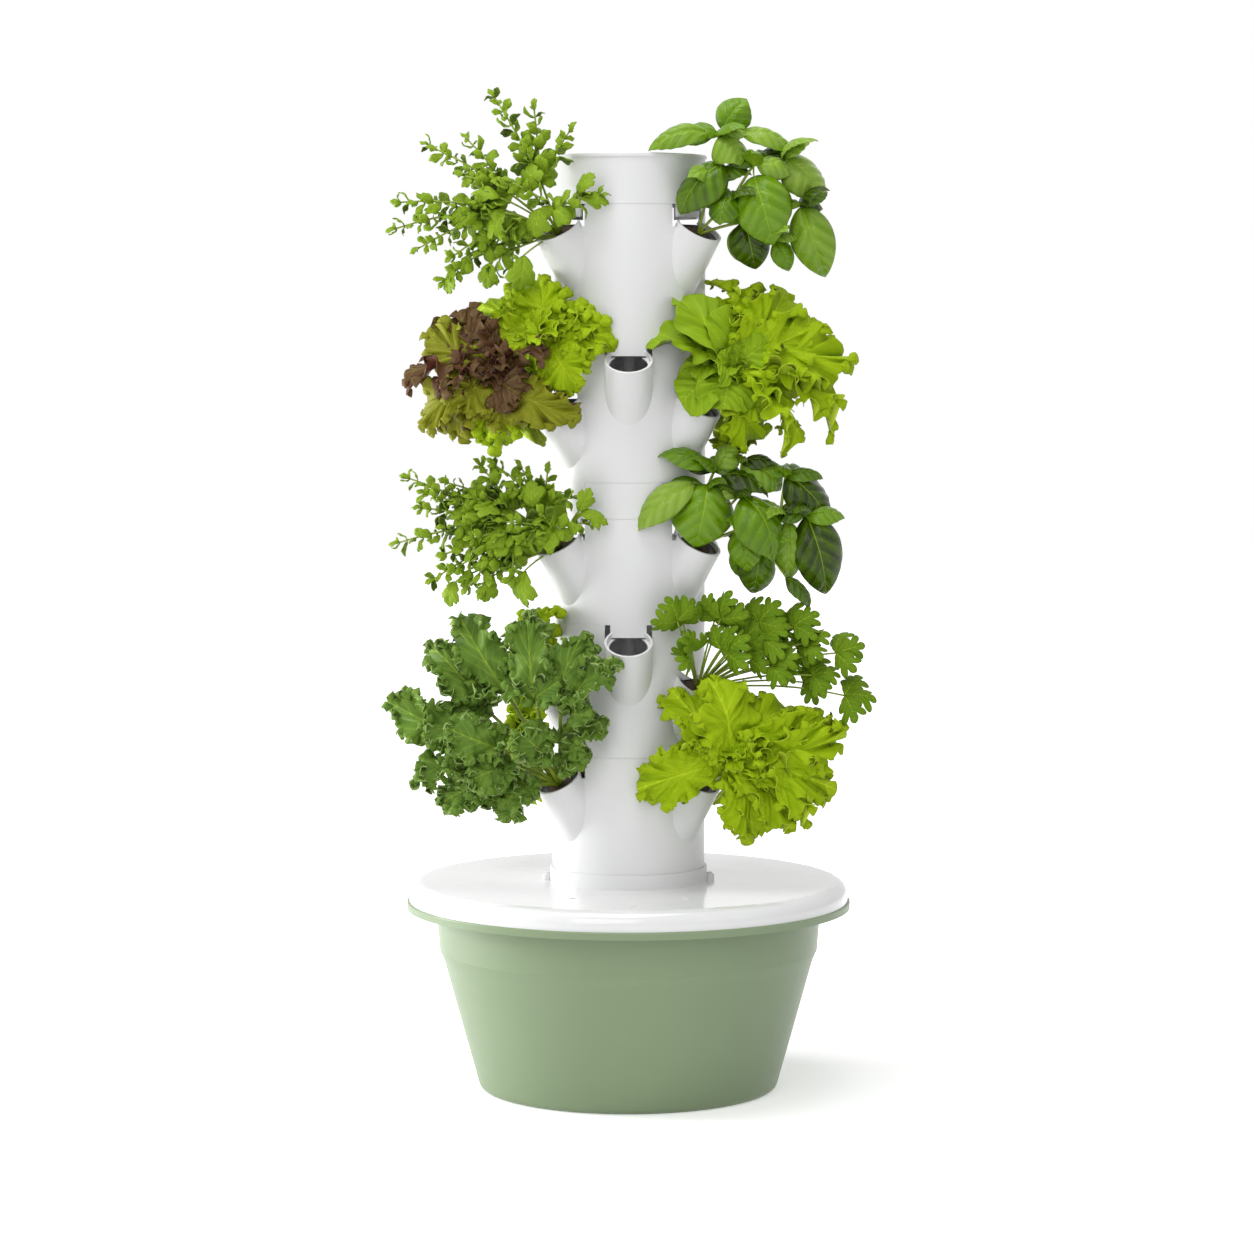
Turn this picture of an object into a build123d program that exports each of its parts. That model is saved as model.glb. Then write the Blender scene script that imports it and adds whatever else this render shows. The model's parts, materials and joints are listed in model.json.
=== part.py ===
from build123d import *

import os
from math import cos, radians, sin, tan

# Hydroponic tower: white stacked column with tilted planting pockets on a round reservoir.
# Millimetres, +Z up. Origin: middle of the basin's flat bottom. The front faces -Y.

# Clearances
slip_gap = 0.3
seat_gap = 0.2
running_gap = 0.1

# Reservoir basin
floor_radius = 205.0
floor_corner = 11.0
basin_wall = 4.0
band_height = 180.0
band_radius = 255.0
step_width = 6.0
step_rise = 14.0
mouth_radius = 266.0
rim_radius = 306.0
rim_height = 262.0
rim_thickness = 4.0
rim_lip_width = 4.0
rim_lip_drop = 6.0
rim_round = 1.6

# Reservoir lid
lid_radius = 303.0
lid_rise = 27.0
lid_shoulder = 18.0
lid_wall = 3.5
lid_skirt_wall = 3.0
lid_skirt_drop = 10.0
lid_skirt_gap = 1.0
riser_hole_gap = 4.0
drain_rings = ((52.0, 10, 7.0), (80.0, 16, 6.0))
dimple_radius = 5.0
dimple_depth = 1.2
dimple_places = ((198.0, 22.0), (198.0, -22.0), (258.0, 2.0))

# Column
column_radius = 105.0
column_wall = 3.0
base_ring_height = 20.0
base_ring_wall = 3.2
lug_radius = 6.5
lug_height = 8.0
lug_round = 1.6
screw_radius = 1.6
screw_head_radius = 3.4
screw_head_height = 2.2
screw_point = 6.0
lower_section_height = 180.0
short_section_height = 144.0
upper_section_height = 187.0
coupling_height = 48.5
coupling_mark_azimuth = -34.0
coupling_mark_width = 1.2
coupling_mark_depth = 1.0
cap_ring_height = 63.0
cap_thickness = 5.0
cap_round = 1.5
cap_overhang = 1.6
cap_plug_depth = 12.0
cap_plug_wall = 2.5
seam_height = 1.0
seam_depth = 0.9
spigot_length = 10.0
spigot_wall = 2.5
spigot_root = 4.0

# Planting pockets, each a tilted tube on the column's wall
pocket_radius = 32.5
pocket_wall = 3.0
pocket_tilt = 32.0
pocket_centre = 121.0
pocket_length = 120.0
side_azimuth = 52.0
rear_azimuth = 128.0
upper_lip_depth = 33.0
front_lip_depth = 22.0
low_lip_depth = 83.0
ledge_depth = 8.0
ledge_width = 3.5
ledge_thickness = 2.0
notch_width = 64.0
notch_sill = 7.0
tab_width = 49.0
tab_length = 17.0

# Net cup and root plug
cup_radius = 20.5
cup_foot_radius = 16.0
cup_length = 46.0
cup_wall = 1.5
cup_flange_gap = 0.8
cup_flange_thickness = 2.0
cup_slot_width = 5.0
cup_slot_length = 22.0
cup_slot_count = 6
cup_slot_drop = 25.0
plug_length = 30.0
plug_gap = 0.4

# Pump, riser and water spreading
pump_width = 70.0
pump_depth = 62.0
pump_height = 60.0
pump_front = 12.0
pump_wall = 3.0
pump_corner = 6.0
pump_foot_height = 6.0
pump_foot_radius = 8.0
pump_foot_tip = 4.0
pump_foot_inset = 12.0
chamber_radius = 20.0
chamber_depth = 21.0
cover_thickness = 3.0
cover_edge = 1.5
cover_screw_inset = 6.0
cover_screw_hole = 9.0
intake_ring = 12.0
intake_count = 8
intake_slot = 3.0
shaft_socket = 1.5
impeller_radius = 16.5
impeller_blades = 6
impeller_blade = 2.0
impeller_hub = 5.0
impeller_depth = 14.0
magnet_radius = 9.0
magnet_length = 20.0
magnet_gap = 1.0
shaft_radius = 2.0
stator_length = 10.0
outlet_radius = 8.0
outlet_bore = 5.5
outlet_height = 14.0
adaptor_wall = 3.0
adaptor_grip = 14.0
adaptor_lift = 1.0
riser_radius = 8.0
riser_wall = 1.5
riser_top_drop = 26.0
nozzle_radius = 10.5
nozzle_height = 16.0
nozzle_grip = 8.0
nozzle_round = 2.6
nozzle_slot = 3.0
tray_ledge_width = 7.0
tray_ledge_height = 6.0
tray_ledge_thickness = 3.0
tray_thickness = 3.0
tray_rim = 10.0
tray_rim_wall = 2.0
tray_hole_radius = 2.0
tray_hole_rings = ((40.0, 8), (70.0, 14))
tray_riser_gap = 2.5

# Fill port and cable gland at the back of the lid
fill_place = 200.0
fill_port_radius = 30.0
fill_flange = 6.0
fill_cap_height = 7.0
fill_cap_round = 2.3
fill_plug_depth = 14.0
fill_plug_wall = 2.5
fill_plug_gap = 0.6
fill_grip_width = 8.0
fill_grip_length = 52.0
fill_grip_round = 2.0
fill_grip_height = 9.0
seal_thickness = 1.5
grommet_place = (62.0, 236.0)
grommet_hole = 9.0
grommet_flange = 4.0
grommet_lip = 2.5
grommet_catch = 2.0
grommet_bore = 4.0

# Foliage. Places are counted from the middle of the pocket's lip, for a pocket at the right of the
# front: x to the right, then towards the viewer, then up. Left-hand plants are mirrored.
leaf_thickness = 1.6
leaflet_thickness = 1.2
leaf_base = 2.5
leaf_crown = 0.14
leaf_shoulder = 0.62
stem_radius = 2.0
petiole_radius = 1.3
twig_radius = 1.1
rosette_radius = 6.0
heart_radius = 9.0
oval_widest = 0.45
herb_leaf = 30.0
herb_tip_leaf = 18.0
herb_leaf_ratio = 0.62
herb_leaf_angle = 58.0
herb_pairs = 2
parsley_spread = 64.0
parsley_leaf_ratio = 0.8
facing_up = (0.0, 0.75, 0.66)
facing_out = (0.4, 0.75, 0.5)
plant_root = (-2, -2, -8)
root_offset = 9.0

# Basil: joints of the stems, pairs of joints that a stem links, and leaves as
# (joint, stalk end, tip, width)
upper_basil_joints = (
    plant_root, (18, 8, 70), (26, 10, 124), (45, 16, 40), (72, 18, 84),
    (113, 4, 94), (136, 5, 30), (57, 4, 8), (100, 6, -14),
)
upper_basil_links = ((0, 1), (1, 2), (0, 3), (3, 4), (4, 5), (3, 6), (0, 7), (7, 8))
upper_basil_leaves = (
    (2, (30, 5, 132), (58, 12, 175), 38),
    (2, (13, 14, 127), (-68, 34, 118), 30),
    (2, (22, 2, 130), (-30, -6, 126), 26),
    (2, (54, 5, 129), (128, 8, 108), 32),
    (2, (28, 16, 124), (60, 36, 92), 42),
    (4, (76, 18, 88), (126, 22, 76), 30),
    (5, (116, 3, 96), (165, 6, 40), 45),
    (1, (30, 22, 88), (-26, 38, 24), 50),
    (4, (72, 30, 70), (101, 54, -16), 60),
    (3, (37, 26, 45), (28, 46, 8), 35),
    (7, (62, 6, 10), (73, 4, -55), 42),
    (7, (54, -6, 4), (58, -22, -48), 28),
    (8, (102, 6, -16), (126, 8, -53), 25),
    (6, (138, 4, 30), (168, 6, -65), 46),
)
lower_basil_joints = (
    plant_root, (10, 10, 70), (20, 12, 96), (52, 18, 62), (58, 10, 108),
    (117, 6, 90), (144, 6, 37), (62, 10, 20), (84, 2, -8), (110, 10, 40),
)
lower_basil_links = (
    (0, 1), (1, 2), (0, 3), (3, 4), (3, 9), (9, 5), (9, 6), (0, 7), (7, 8),
)
lower_basil_leaves = (
    (2, (14, 18, 103), (-50, 34, 126), 30),
    (1, (-8, 26, 82), (-86, 46, 25), 36),
    (2, (24, 10, 99), (49, 14, 134), 30),
    (2, (30, 16, 92), (95, 26, 76), 34),
    (4, (60, 10, 110), (113, 12, 74), 44),
    (5, (119, 5, 91), (175, 6, 33), 46),
    (1, (11, 26, 80), (1, 46, -2), 66),
    (3, (60, 30, 64), (108, 56, -14), 57),
    (7, (61, 16, 20), (61, 28, -36), 36),
    (8, (84, 0, -10), (72, -6, -72), 40),
    (7, (58, -6, 2), (62, -24, -52), 28),
    (9, (121, 5, 28), (118, 0, -52), 34),
    (6, (146, 6, 36), (184, 8, -67), 52),
    (8, (118, 4, -48), (155, 6, -85), 24),
)

# Rosettes: heart of the plant, then leaves as (tip, width)
right_lettuce_heart = (36, 24, 46)
right_lettuce_leaves = (
    ((-34, 30, 146), 54), ((-62, 46, 92), 46), ((-29, 50, 9), 52), ((33, 60, -5), 62),
    ((38, 26, 136), 54), ((100, 34, 88), 45), ((46, -42, 178), 54), ((82, -20, 166), 58),
    ((119, 0, 160), 60), ((161, 4, 118), 60), ((211, 8, 54), 66), ((198, 10, -12), 60),
    ((140, 14, -42), 66), ((74, -8, -60), 58), ((50, -40, -48), 40),
)
left_lettuce_heart = (8, 30, 84)
left_lettuce_leaves = (
    ((122, 2, 106), 46), ((108, -40, 140), 50), ((66, -34, 166), 54), ((18, 18, 170), 54),
    ((-28, 26, 142), 52), ((-72, 48, 92), 46), ((-24, 60, 26), 56), ((-50, 40, 126), 44),
)
red_lettuce_heart = (84, 24, 38)
red_lettuce_leaves = (
    ((206, 26, 45), 56), ((181, 18, 94), 54), ((137, 32, 122), 54), ((98, 44, 116), 52),
    ((26, 72, 82), 60), ((52, 72, 20), 58), ((142, 58, 6), 64), ((190, 20, -18), 52),
    ((146, 10, -42), 50), ((60, 40, -32), 50), ((-22, 54, -16), 50), ((74, 2, -62), 46),
    ((110, 2, -50), 44),
)
bright_lettuce_heart = (36, 42, 30)
bright_lettuce_leaves = (
    ((22, 74, 140), 84), ((-42, 58, 122), 54), ((-86, 54, 4), 58), ((10, 70, 64), 36),
    ((84, 78, 46), 50), ((122, 32, 110), 62), ((178, 34, 84), 58), ((202, 32, 52), 54),
    ((188, 34, -4), 56), ((160, 40, -38), 56), ((130, 42, -64), 56), ((75, 32, -82), 60),
)
young_lettuce_heart = (20, 2, 34)
young_lettuce_leaves = (((50, -10, 98), 34), ((14, 8, 104), 32), ((30, -30, 84), 34))
rear_lettuce_heart = (30, 26, 34)
rear_lettuce_leaves = (
    ((58, 12, 122), 50), ((98, 6, 100), 54), ((134, 34, 58), 54), ((124, 62, 8), 54),
    ((66, 92, -4), 52), ((16, 82, 60), 46), ((72, 26, -56), 48), ((108, 20, -36), 48),
    ((60, 60, 100), 44),
)

# Kale: leaves as (stalk end, tip, width), all from the pocket's mouth
kale_leaves = (
    ((110, 16, 52), (231, 6, 109), 72), ((92, 10, 92), (181, -8, 180), 70),
    ((68, 24, 118), (127, -4, 228), 74), ((30, 66, 112), (36, 60, 232), 64),
    ((-4, 66, 110), (-26, 66, 206), 58), ((-18, 72, 98), (-64, 90, 174), 54),
    ((-14, 58, 54), (-56, 64, 94), 50), ((108, 24, 14), (197, 28, 17), 70),
    ((92, 26, -2), (160, 26, -32), 60), ((46, 40, 0), (76, 46, -48), 58),
    ((104, 30, 46), (180, 30, 88), 66), ((22, 60, 40), (42, 100, 76), 70),
    ((-8, 46, 26), (-36, 58, 46), 44), ((66, 44, 22), (116, 68, 10), 66),
    ((80, 46, 48), (148, 66, 72), 70),
)

# Parsley: middles of the leaves and their reach
parsley_leaves = (
    ((-30, 46, 90), 26), ((29, 26, 92), 27), ((81, 16, 86), 27), ((128, 12, 80), 26),
    ((-14, 54, 44), 25), ((40, 44, 46), 28), ((88, 28, 62), 27), ((142, 14, 58), 25),
    ((186, 10, 44), 27), ((96, 34, 30), 28), ((154, 14, 14), 25), ((198, 10, -14), 29),
)

# Herbs: joints where a stem branches, each with the tips of its sprigs
upper_herb_branches = (
    ((22, 16, 62), ((84, 4, 174), (31, 12, 158), (-16, 28, 128), (40, 34, 100))),
    ((60, 12, 44), ((172, 0, 110), (120, -6, 118), (124, 20, 70))),
    ((70, 24, 24), ((210, 8, 35), (216, 14, 0), (185, 18, -26), (104, 42, 32))),
    ((52, 16, 12), ((150, 14, -70), (86, 26, -64), (64, -26, -52), (138, 24, -36), (70, 54, -8))),
    ((4, 40, 26), ((-56, 50, 42), (60, 48, 60))),
)
lower_herb_branches = (
    ((18, 18, 48), ((49, 12, 96), (14, 20, 90), (-20, 44, 62), (60, 34, 70))),
    ((60, 12, 44), ((104, 4, 98), (148, 4, 76), (110, 28, 60))),
    ((72, 22, 24), ((200, 6, 86), (183, 10, 46), (214, 10, 0))),
    ((52, 16, 10), ((166, 18, -52), (100, 28, -64), (66, -26, -50), (137, 24, -34), (92, 40, -22))),
    ((6, 42, 18), ((-46, 52, 30), (42, 52, 6), (70, 48, 30))),
)

# Levels worked out from the sizes above
lid_top = rim_height + lid_rise
section_5_bottom = lid_top
section_4_bottom = section_5_bottom + lower_section_height
section_3_bottom = section_4_bottom + lower_section_height
coupling_bottom = section_3_bottom + short_section_height
section_2_bottom = coupling_bottom + coupling_height
section_1_bottom = section_2_bottom + upper_section_height
cap_ring_bottom = section_1_bottom + upper_section_height
cap_bottom = cap_ring_bottom + cap_ring_height
inner_radius = column_radius - column_wall
spigot_radius = inner_radius - slip_gap
pocket_bore = pocket_radius - pocket_wall
ledge_bore = pocket_bore - ledge_width
pump_bottom = basin_wall + pump_foot_height
chamber_height = pump_bottom + pump_height / 2
pump_top = pump_bottom + pump_height
outlet_top = pump_top + outlet_height
riser_bottom = outlet_top + slip_gap
riser_top = cap_bottom - riser_top_drop
tray_bottom = cap_ring_bottom + tray_ledge_height + tray_ledge_thickness
four_sides = (-rear_azimuth, -side_azimuth, side_azimuth, rear_azimuth)
front_only = (0.0,)
lip_1 = cap_ring_bottom - upper_lip_depth
lip_2 = section_1_bottom - low_lip_depth
lip_3 = coupling_bottom - upper_lip_depth
lip_4 = section_3_bottom - low_lip_depth
lip_5 = section_4_bottom - upper_lip_depth
cup_top = seat_gap + cup_flange_thickness - ledge_depth
lug_place = column_radius + slip_gap + base_ring_wall + screw_head_radius + slip_gap

os.makedirs("parts", exist_ok=True)


def save(builder, name):
    builder.part.label = name
    export_step(builder.part, f"parts/{name}.step")


def outward(azimuth):
    """Level direction away from the column's axis, counted from the front towards the right."""
    return Vector(sin(radians(azimuth)), -cos(radians(azimuth)), 0)


def pocket_plane(azimuth, lip_height):
    """Plane of a pocket's lip: its Z runs out of the pocket and its X along the column's wall."""
    out = outward(azimuth)
    tilt = radians(pocket_tilt)
    return Plane(
        origin=out * pocket_centre + Vector(0, 0, lip_height),
        x_dir=Vector(cos(radians(azimuth)), sin(radians(azimuth)), 0),
        z_dir=out * sin(tilt) + Vector(0, 0, cos(tilt)),
    )


def wall_strips(azimuths, width, mode=Mode.ADD):
    """Rectangles from the axis out through the wall, one at each azimuth."""
    for azimuth in azimuths:
        with Locations(Location((0, 0, 0), (0, 0, azimuth))):
            Rectangle(width, column_radius + column_wall, align=(Align.CENTER, Align.MAX), mode=mode)


def add_tabs(bottom, azimuths):
    """Tabs that hang from a piece into the notches of the section below."""
    with BuildSketch(Plane.XY.offset(bottom - tab_length)) as tabs:
        wall_strips(azimuths, tab_width)
        Circle(column_radius, mode=Mode.INTERSECT)
        Circle(inner_radius, mode=Mode.SUBTRACT)
    extrude(tabs.sketch, amount=tab_length + column_wall)


def add_spigot(bottom, azimuths):
    """Ring that nests in the piece below, open where that piece has its notches."""
    with BuildSketch(Plane.XY.offset(bottom - spigot_length)) as ring:
        Circle(spigot_radius)
        Circle(spigot_radius - spigot_wall, mode=Mode.SUBTRACT)
        wall_strips(azimuths, notch_width, Mode.SUBTRACT)
    extrude(ring.sketch, amount=spigot_length)
    with BuildSketch(Plane.XY.offset(bottom)) as web:
        Circle(inner_radius + column_wall / 2)
        Circle(spigot_radius - spigot_wall, mode=Mode.SUBTRACT)
    extrude(web.sketch, amount=spigot_root)


def cut_seam(top):
    """Groove round the top edge of a piece, which shows as a line where the next one sits."""
    with BuildSketch(Plane.XY.offset(top - seam_height)) as groove:
        Circle(column_radius)
        Circle(column_radius - seam_depth, mode=Mode.SUBTRACT)
    extrude(groove.sketch, amount=seam_height, mode=Mode.SUBTRACT)


def build_section(name, bottom, height, upper, upper_depth, low, tabs, has_spigot):
    """One column section with pockets at its top edge, pockets lower down, and tabs below."""
    top = bottom + height
    upper_planes = [pocket_plane(a, top - upper_depth) for a in upper]
    planes = upper_planes + [pocket_plane(a, top - low_lip_depth) for a in low]
    with BuildPart() as section:
        with BuildSketch(Plane.XY.offset(bottom)):
            Circle(column_radius)
        extrude(amount=height)
        with Locations(*planes):
            Cylinder(pocket_radius, pocket_length, align=(Align.CENTER, Align.CENTER, Align.MAX))
        with Locations(*planes):
            Cylinder(pocket_bore, 2 * pocket_length, mode=Mode.SUBTRACT)
        for plane in planes:
            with BuildSketch(plane.offset(-ledge_depth - ledge_thickness)):
                Circle(pocket_bore + pocket_wall / 2)
                Circle(ledge_bore, mode=Mode.SUBTRACT)
            extrude(amount=ledge_thickness)
        with BuildSketch(Plane.XY.offset(bottom - pocket_length)):
            Circle(inner_radius)
        extrude(amount=height + 2 * pocket_length, mode=Mode.SUBTRACT)
        sill = (pocket_centre - column_radius) * tan(radians(pocket_tilt)) - notch_sill
        for azimuth in upper:
            with BuildSketch(Plane.XY.offset(top - upper_depth + sill)):
                wall_strips((azimuth,), notch_width)
                Circle(column_radius, mode=Mode.INTERSECT)
            extrude(amount=upper_depth, mode=Mode.SUBTRACT)
        cut_seam(top)
        if tabs:
            add_tabs(bottom, tabs)
        if has_spigot:
            add_spigot(bottom, tabs)
    save(section, name)


# Reservoir basin: stepped tub with an out-turned rim and a turned-down lip
with BuildPart() as basin:
    rim_under = rim_height - rim_thickness
    lip_inside = rim_radius - rim_lip_width
    with BuildSketch(Plane.XZ):
        with BuildLine():
            Polyline(
                (0, 0),
                (floor_radius, 0),
                (band_radius, band_height),
                (band_radius + step_width, band_height + step_rise),
                (mouth_radius, rim_under),
                (lip_inside, rim_under),
                (lip_inside, rim_under - rim_lip_drop),
                (rim_radius, rim_under - rim_lip_drop),
                (rim_radius, rim_height),
                (mouth_radius - basin_wall, rim_height),
                (band_radius + step_width - basin_wall, band_height + step_rise),
                (band_radius - basin_wall, band_height),
                (floor_radius - basin_wall, basin_wall),
                (0, basin_wall),
                close=True,
            )
        make_face()
    revolve(axis=Axis.Z)
    rings = basin.edges().filter_by(GeomType.CIRCLE).group_by(Axis.Z)
    fillet(rings[0], floor_corner)
    top_rings = basin.edges().filter_by(GeomType.CIRCLE).group_by(Axis.Z)[-1]
    fillet(top_rings.sort_by(SortBy.RADIUS)[-1], rim_round)
save(basin, "reservoir_basin")

# Reservoir lid: dish with a rounded shoulder, a locating skirt and the holes it needs
with BuildPart() as lid:
    shoulder_start = lid_top - lid_shoulder
    inner_shoulder = lid_shoulder - lid_wall
    with BuildSketch(Plane.XZ):
        with BuildLine():
            Line((lid_radius - lid_wall, rim_height), (lid_radius, rim_height))
            Line((lid_radius, rim_height), (lid_radius, shoulder_start))
            RadiusArc((lid_radius, shoulder_start), (lid_radius - lid_shoulder, lid_top), -lid_shoulder)
            Line((lid_radius - lid_shoulder, lid_top), (0, lid_top))
            Line((0, lid_top), (0, lid_top - lid_wall))
            Line((0, lid_top - lid_wall), (lid_radius - lid_shoulder, lid_top - lid_wall))
            RadiusArc(
                (lid_radius - lid_shoulder, lid_top - lid_wall),
                (lid_radius - lid_wall, shoulder_start),
                inner_shoulder,
            )
            Line((lid_radius - lid_wall, shoulder_start), (lid_radius - lid_wall, rim_height))
        make_face()
    revolve(axis=Axis.Z)
    skirt_radius = mouth_radius - basin_wall - lid_skirt_gap
    with BuildSketch(Plane.XY.offset(rim_height - lid_skirt_drop)):
        Circle(skirt_radius)
        Circle(skirt_radius - lid_skirt_wall, mode=Mode.SUBTRACT)
    extrude(amount=lid_top - lid_wall - rim_height + lid_skirt_drop)
    with BuildSketch(Plane.XY.offset(lid_top)):
        Circle(riser_radius + riser_hole_gap)
        for ring_radius, count, hole_radius in drain_rings:
            with PolarLocations(ring_radius, count):
                Circle(hole_radius)
        with Locations((0, fill_place)):
            Circle(fill_port_radius)
        with Locations(grommet_place):
            Circle(grommet_hole)
        with PolarLocations(lug_place, 2):
            Circle(screw_radius + seat_gap)
    extrude(amount=-lid_wall, mode=Mode.SUBTRACT)
    with BuildSketch(Plane.XY.offset(lid_top)):
        for place, azimuth in dimple_places:
            out = outward(azimuth) * place
            with Locations((out.X, out.Y)):
                Circle(dimple_radius)
    extrude(amount=-dimple_depth, mode=Mode.SUBTRACT)
save(lid, "reservoir_lid")

# Base ring round the column's foot, with two lugs and their screws
with BuildPart() as base_ring:
    with BuildSketch(Plane.XY.offset(lid_top)):
        with PolarLocations(lug_place, 2):
            Circle(lug_radius)
    extrude(amount=lug_height)
    fillet(base_ring.edges().group_by(Axis.Z)[-1], lug_round)
    with BuildSketch(Plane.XY.offset(lid_top)):
        Circle(column_radius + slip_gap + base_ring_wall)
    extrude(amount=base_ring_height)
    with BuildSketch(Plane.XY.offset(lid_top)):
        Circle(column_radius + slip_gap)
        with PolarLocations(lug_place, 2):
            Circle(screw_radius + seat_gap)
    extrude(amount=base_ring_height, mode=Mode.SUBTRACT)
save(base_ring, "base_ring")

with BuildPart() as base_ring_screws:
    with BuildSketch(Plane.XY.offset(lid_top - screw_point)):
        with PolarLocations(lug_place, 2):
            Circle(screw_radius)
    extrude(amount=screw_point + lug_height)
    with BuildSketch(Plane.XY.offset(lid_top + lug_height)):
        with PolarLocations(lug_place, 2):
            Circle(screw_head_radius)
    extrude(amount=screw_head_height)
save(base_ring_screws, "base_ring_screws")

# Column sections, from the foot up
build_section(
    "tower_section_5", section_5_bottom, lower_section_height,
    four_sides, upper_lip_depth, (), (), False,
)
build_section(
    "tower_section_4", section_4_bottom, lower_section_height,
    front_only, front_lip_depth, four_sides, four_sides, True,
)
build_section(
    "tower_section_3", section_3_bottom, short_section_height,
    four_sides, upper_lip_depth, (), front_only, True,
)
build_section(
    "tower_section_2", section_2_bottom, upper_section_height,
    front_only, front_lip_depth, four_sides, (), True,
)
build_section(
    "tower_section_1", section_1_bottom, upper_section_height,
    four_sides, upper_lip_depth, (), front_only, True,
)

# Coupling ring with an upright alignment mark
with BuildPart() as coupling_ring:
    with BuildSketch(Plane.XY.offset(coupling_bottom)):
        Circle(column_radius)
        Circle(inner_radius, mode=Mode.SUBTRACT)
    extrude(amount=coupling_height)
    with BuildSketch(Plane.XY.offset(coupling_bottom)):
        with Locations(Location((0, 0, 0), (0, 0, coupling_mark_azimuth))):
            with Locations((0, -column_radius)):
                Rectangle(coupling_mark_width, 2 * coupling_mark_depth)
    extrude(amount=coupling_height, mode=Mode.SUBTRACT)
    cut_seam(coupling_bottom + coupling_height)
    add_tabs(coupling_bottom, four_sides)
    add_spigot(coupling_bottom, four_sides)
save(coupling_ring, "coupling_ring")

# Cap ring with the ledge that carries the drip tray
with BuildPart() as cap_ring:
    with BuildSketch(Plane.XY.offset(cap_ring_bottom)):
        Circle(column_radius)
        Circle(inner_radius, mode=Mode.SUBTRACT)
    extrude(amount=cap_ring_height)
    add_tabs(cap_ring_bottom, four_sides)
    add_spigot(cap_ring_bottom, four_sides)
    with BuildSketch(Plane.XY.offset(tray_bottom - tray_ledge_thickness)):
        Circle(inner_radius + column_wall / 2)
        Circle(inner_radius - tray_ledge_width, mode=Mode.SUBTRACT)
    extrude(amount=tray_ledge_thickness)
save(cap_ring, "cap_ring")

with BuildPart() as cap_lid:
    with BuildSketch(Plane.XY.offset(cap_bottom)):
        Circle(column_radius + cap_overhang)
    extrude(amount=cap_thickness)
    fillet(cap_lid.edges().group_by(Axis.Z)[-1], cap_round)
    with BuildSketch(Plane.XY.offset(cap_bottom)):
        Circle(spigot_radius)
        Circle(spigot_radius - cap_plug_wall, mode=Mode.SUBTRACT)
    extrude(amount=-cap_plug_depth)
save(cap_lid, "cap_lid")

with BuildPart() as drip_tray:
    with BuildSketch(Plane.XY.offset(tray_bottom)):
        Circle(spigot_radius)
    extrude(amount=tray_rim)
    with BuildSketch(Plane.XY.offset(tray_bottom + tray_thickness)):
        Circle(spigot_radius - tray_rim_wall)
    extrude(amount=tray_rim, mode=Mode.SUBTRACT)
    with BuildSketch(Plane.XY.offset(tray_bottom)):
        Circle(nozzle_radius + tray_riser_gap)
        for ring_radius, count in tray_hole_rings:
            with PolarLocations(ring_radius, count):
                Circle(tray_hole_radius)
    extrude(amount=tray_thickness, mode=Mode.SUBTRACT)
save(drip_tray, "drip_tray")

# Riser, its nozzle and the sleeve on the pump's outlet
with BuildPart() as riser_pipe:
    with BuildSketch(Plane.XY.offset(riser_bottom)):
        Circle(riser_radius)
        Circle(riser_radius - riser_wall, mode=Mode.SUBTRACT)
    extrude(amount=riser_top - riser_bottom)
save(riser_pipe, "riser_pipe")

with BuildPart() as riser_nozzle:
    with BuildSketch(Plane.XY.offset(riser_top - nozzle_grip)):
        Circle(nozzle_radius)
    extrude(amount=nozzle_height)
    fillet(riser_nozzle.edges().group_by(Axis.Z)[-1], nozzle_round)
    with BuildSketch(Plane.XY.offset(riser_top - nozzle_grip)):
        Circle(riser_radius + running_gap)
    extrude(amount=nozzle_grip, mode=Mode.SUBTRACT)
    with BuildSketch(Plane.XY.offset(riser_top)):
        Circle(riser_radius - riser_wall)
    extrude(amount=nozzle_slot, mode=Mode.SUBTRACT)
    with Locations((0, 0, riser_top + nozzle_slot / 2)):
        Box(3 * nozzle_radius, nozzle_slot, nozzle_slot, mode=Mode.SUBTRACT)
        Box(nozzle_slot, 3 * nozzle_radius, nozzle_slot, mode=Mode.SUBTRACT)
save(riser_nozzle, "riser_nozzle")

with BuildPart() as hose_adaptor:
    with BuildSketch(Plane.XY.offset(outlet_top - adaptor_grip + adaptor_lift)):
        Circle(riser_radius + running_gap + adaptor_wall)
        Circle(riser_radius + running_gap, mode=Mode.SUBTRACT)
    extrude(amount=2 * adaptor_grip)
save(hose_adaptor, "hose_adaptor")

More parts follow.
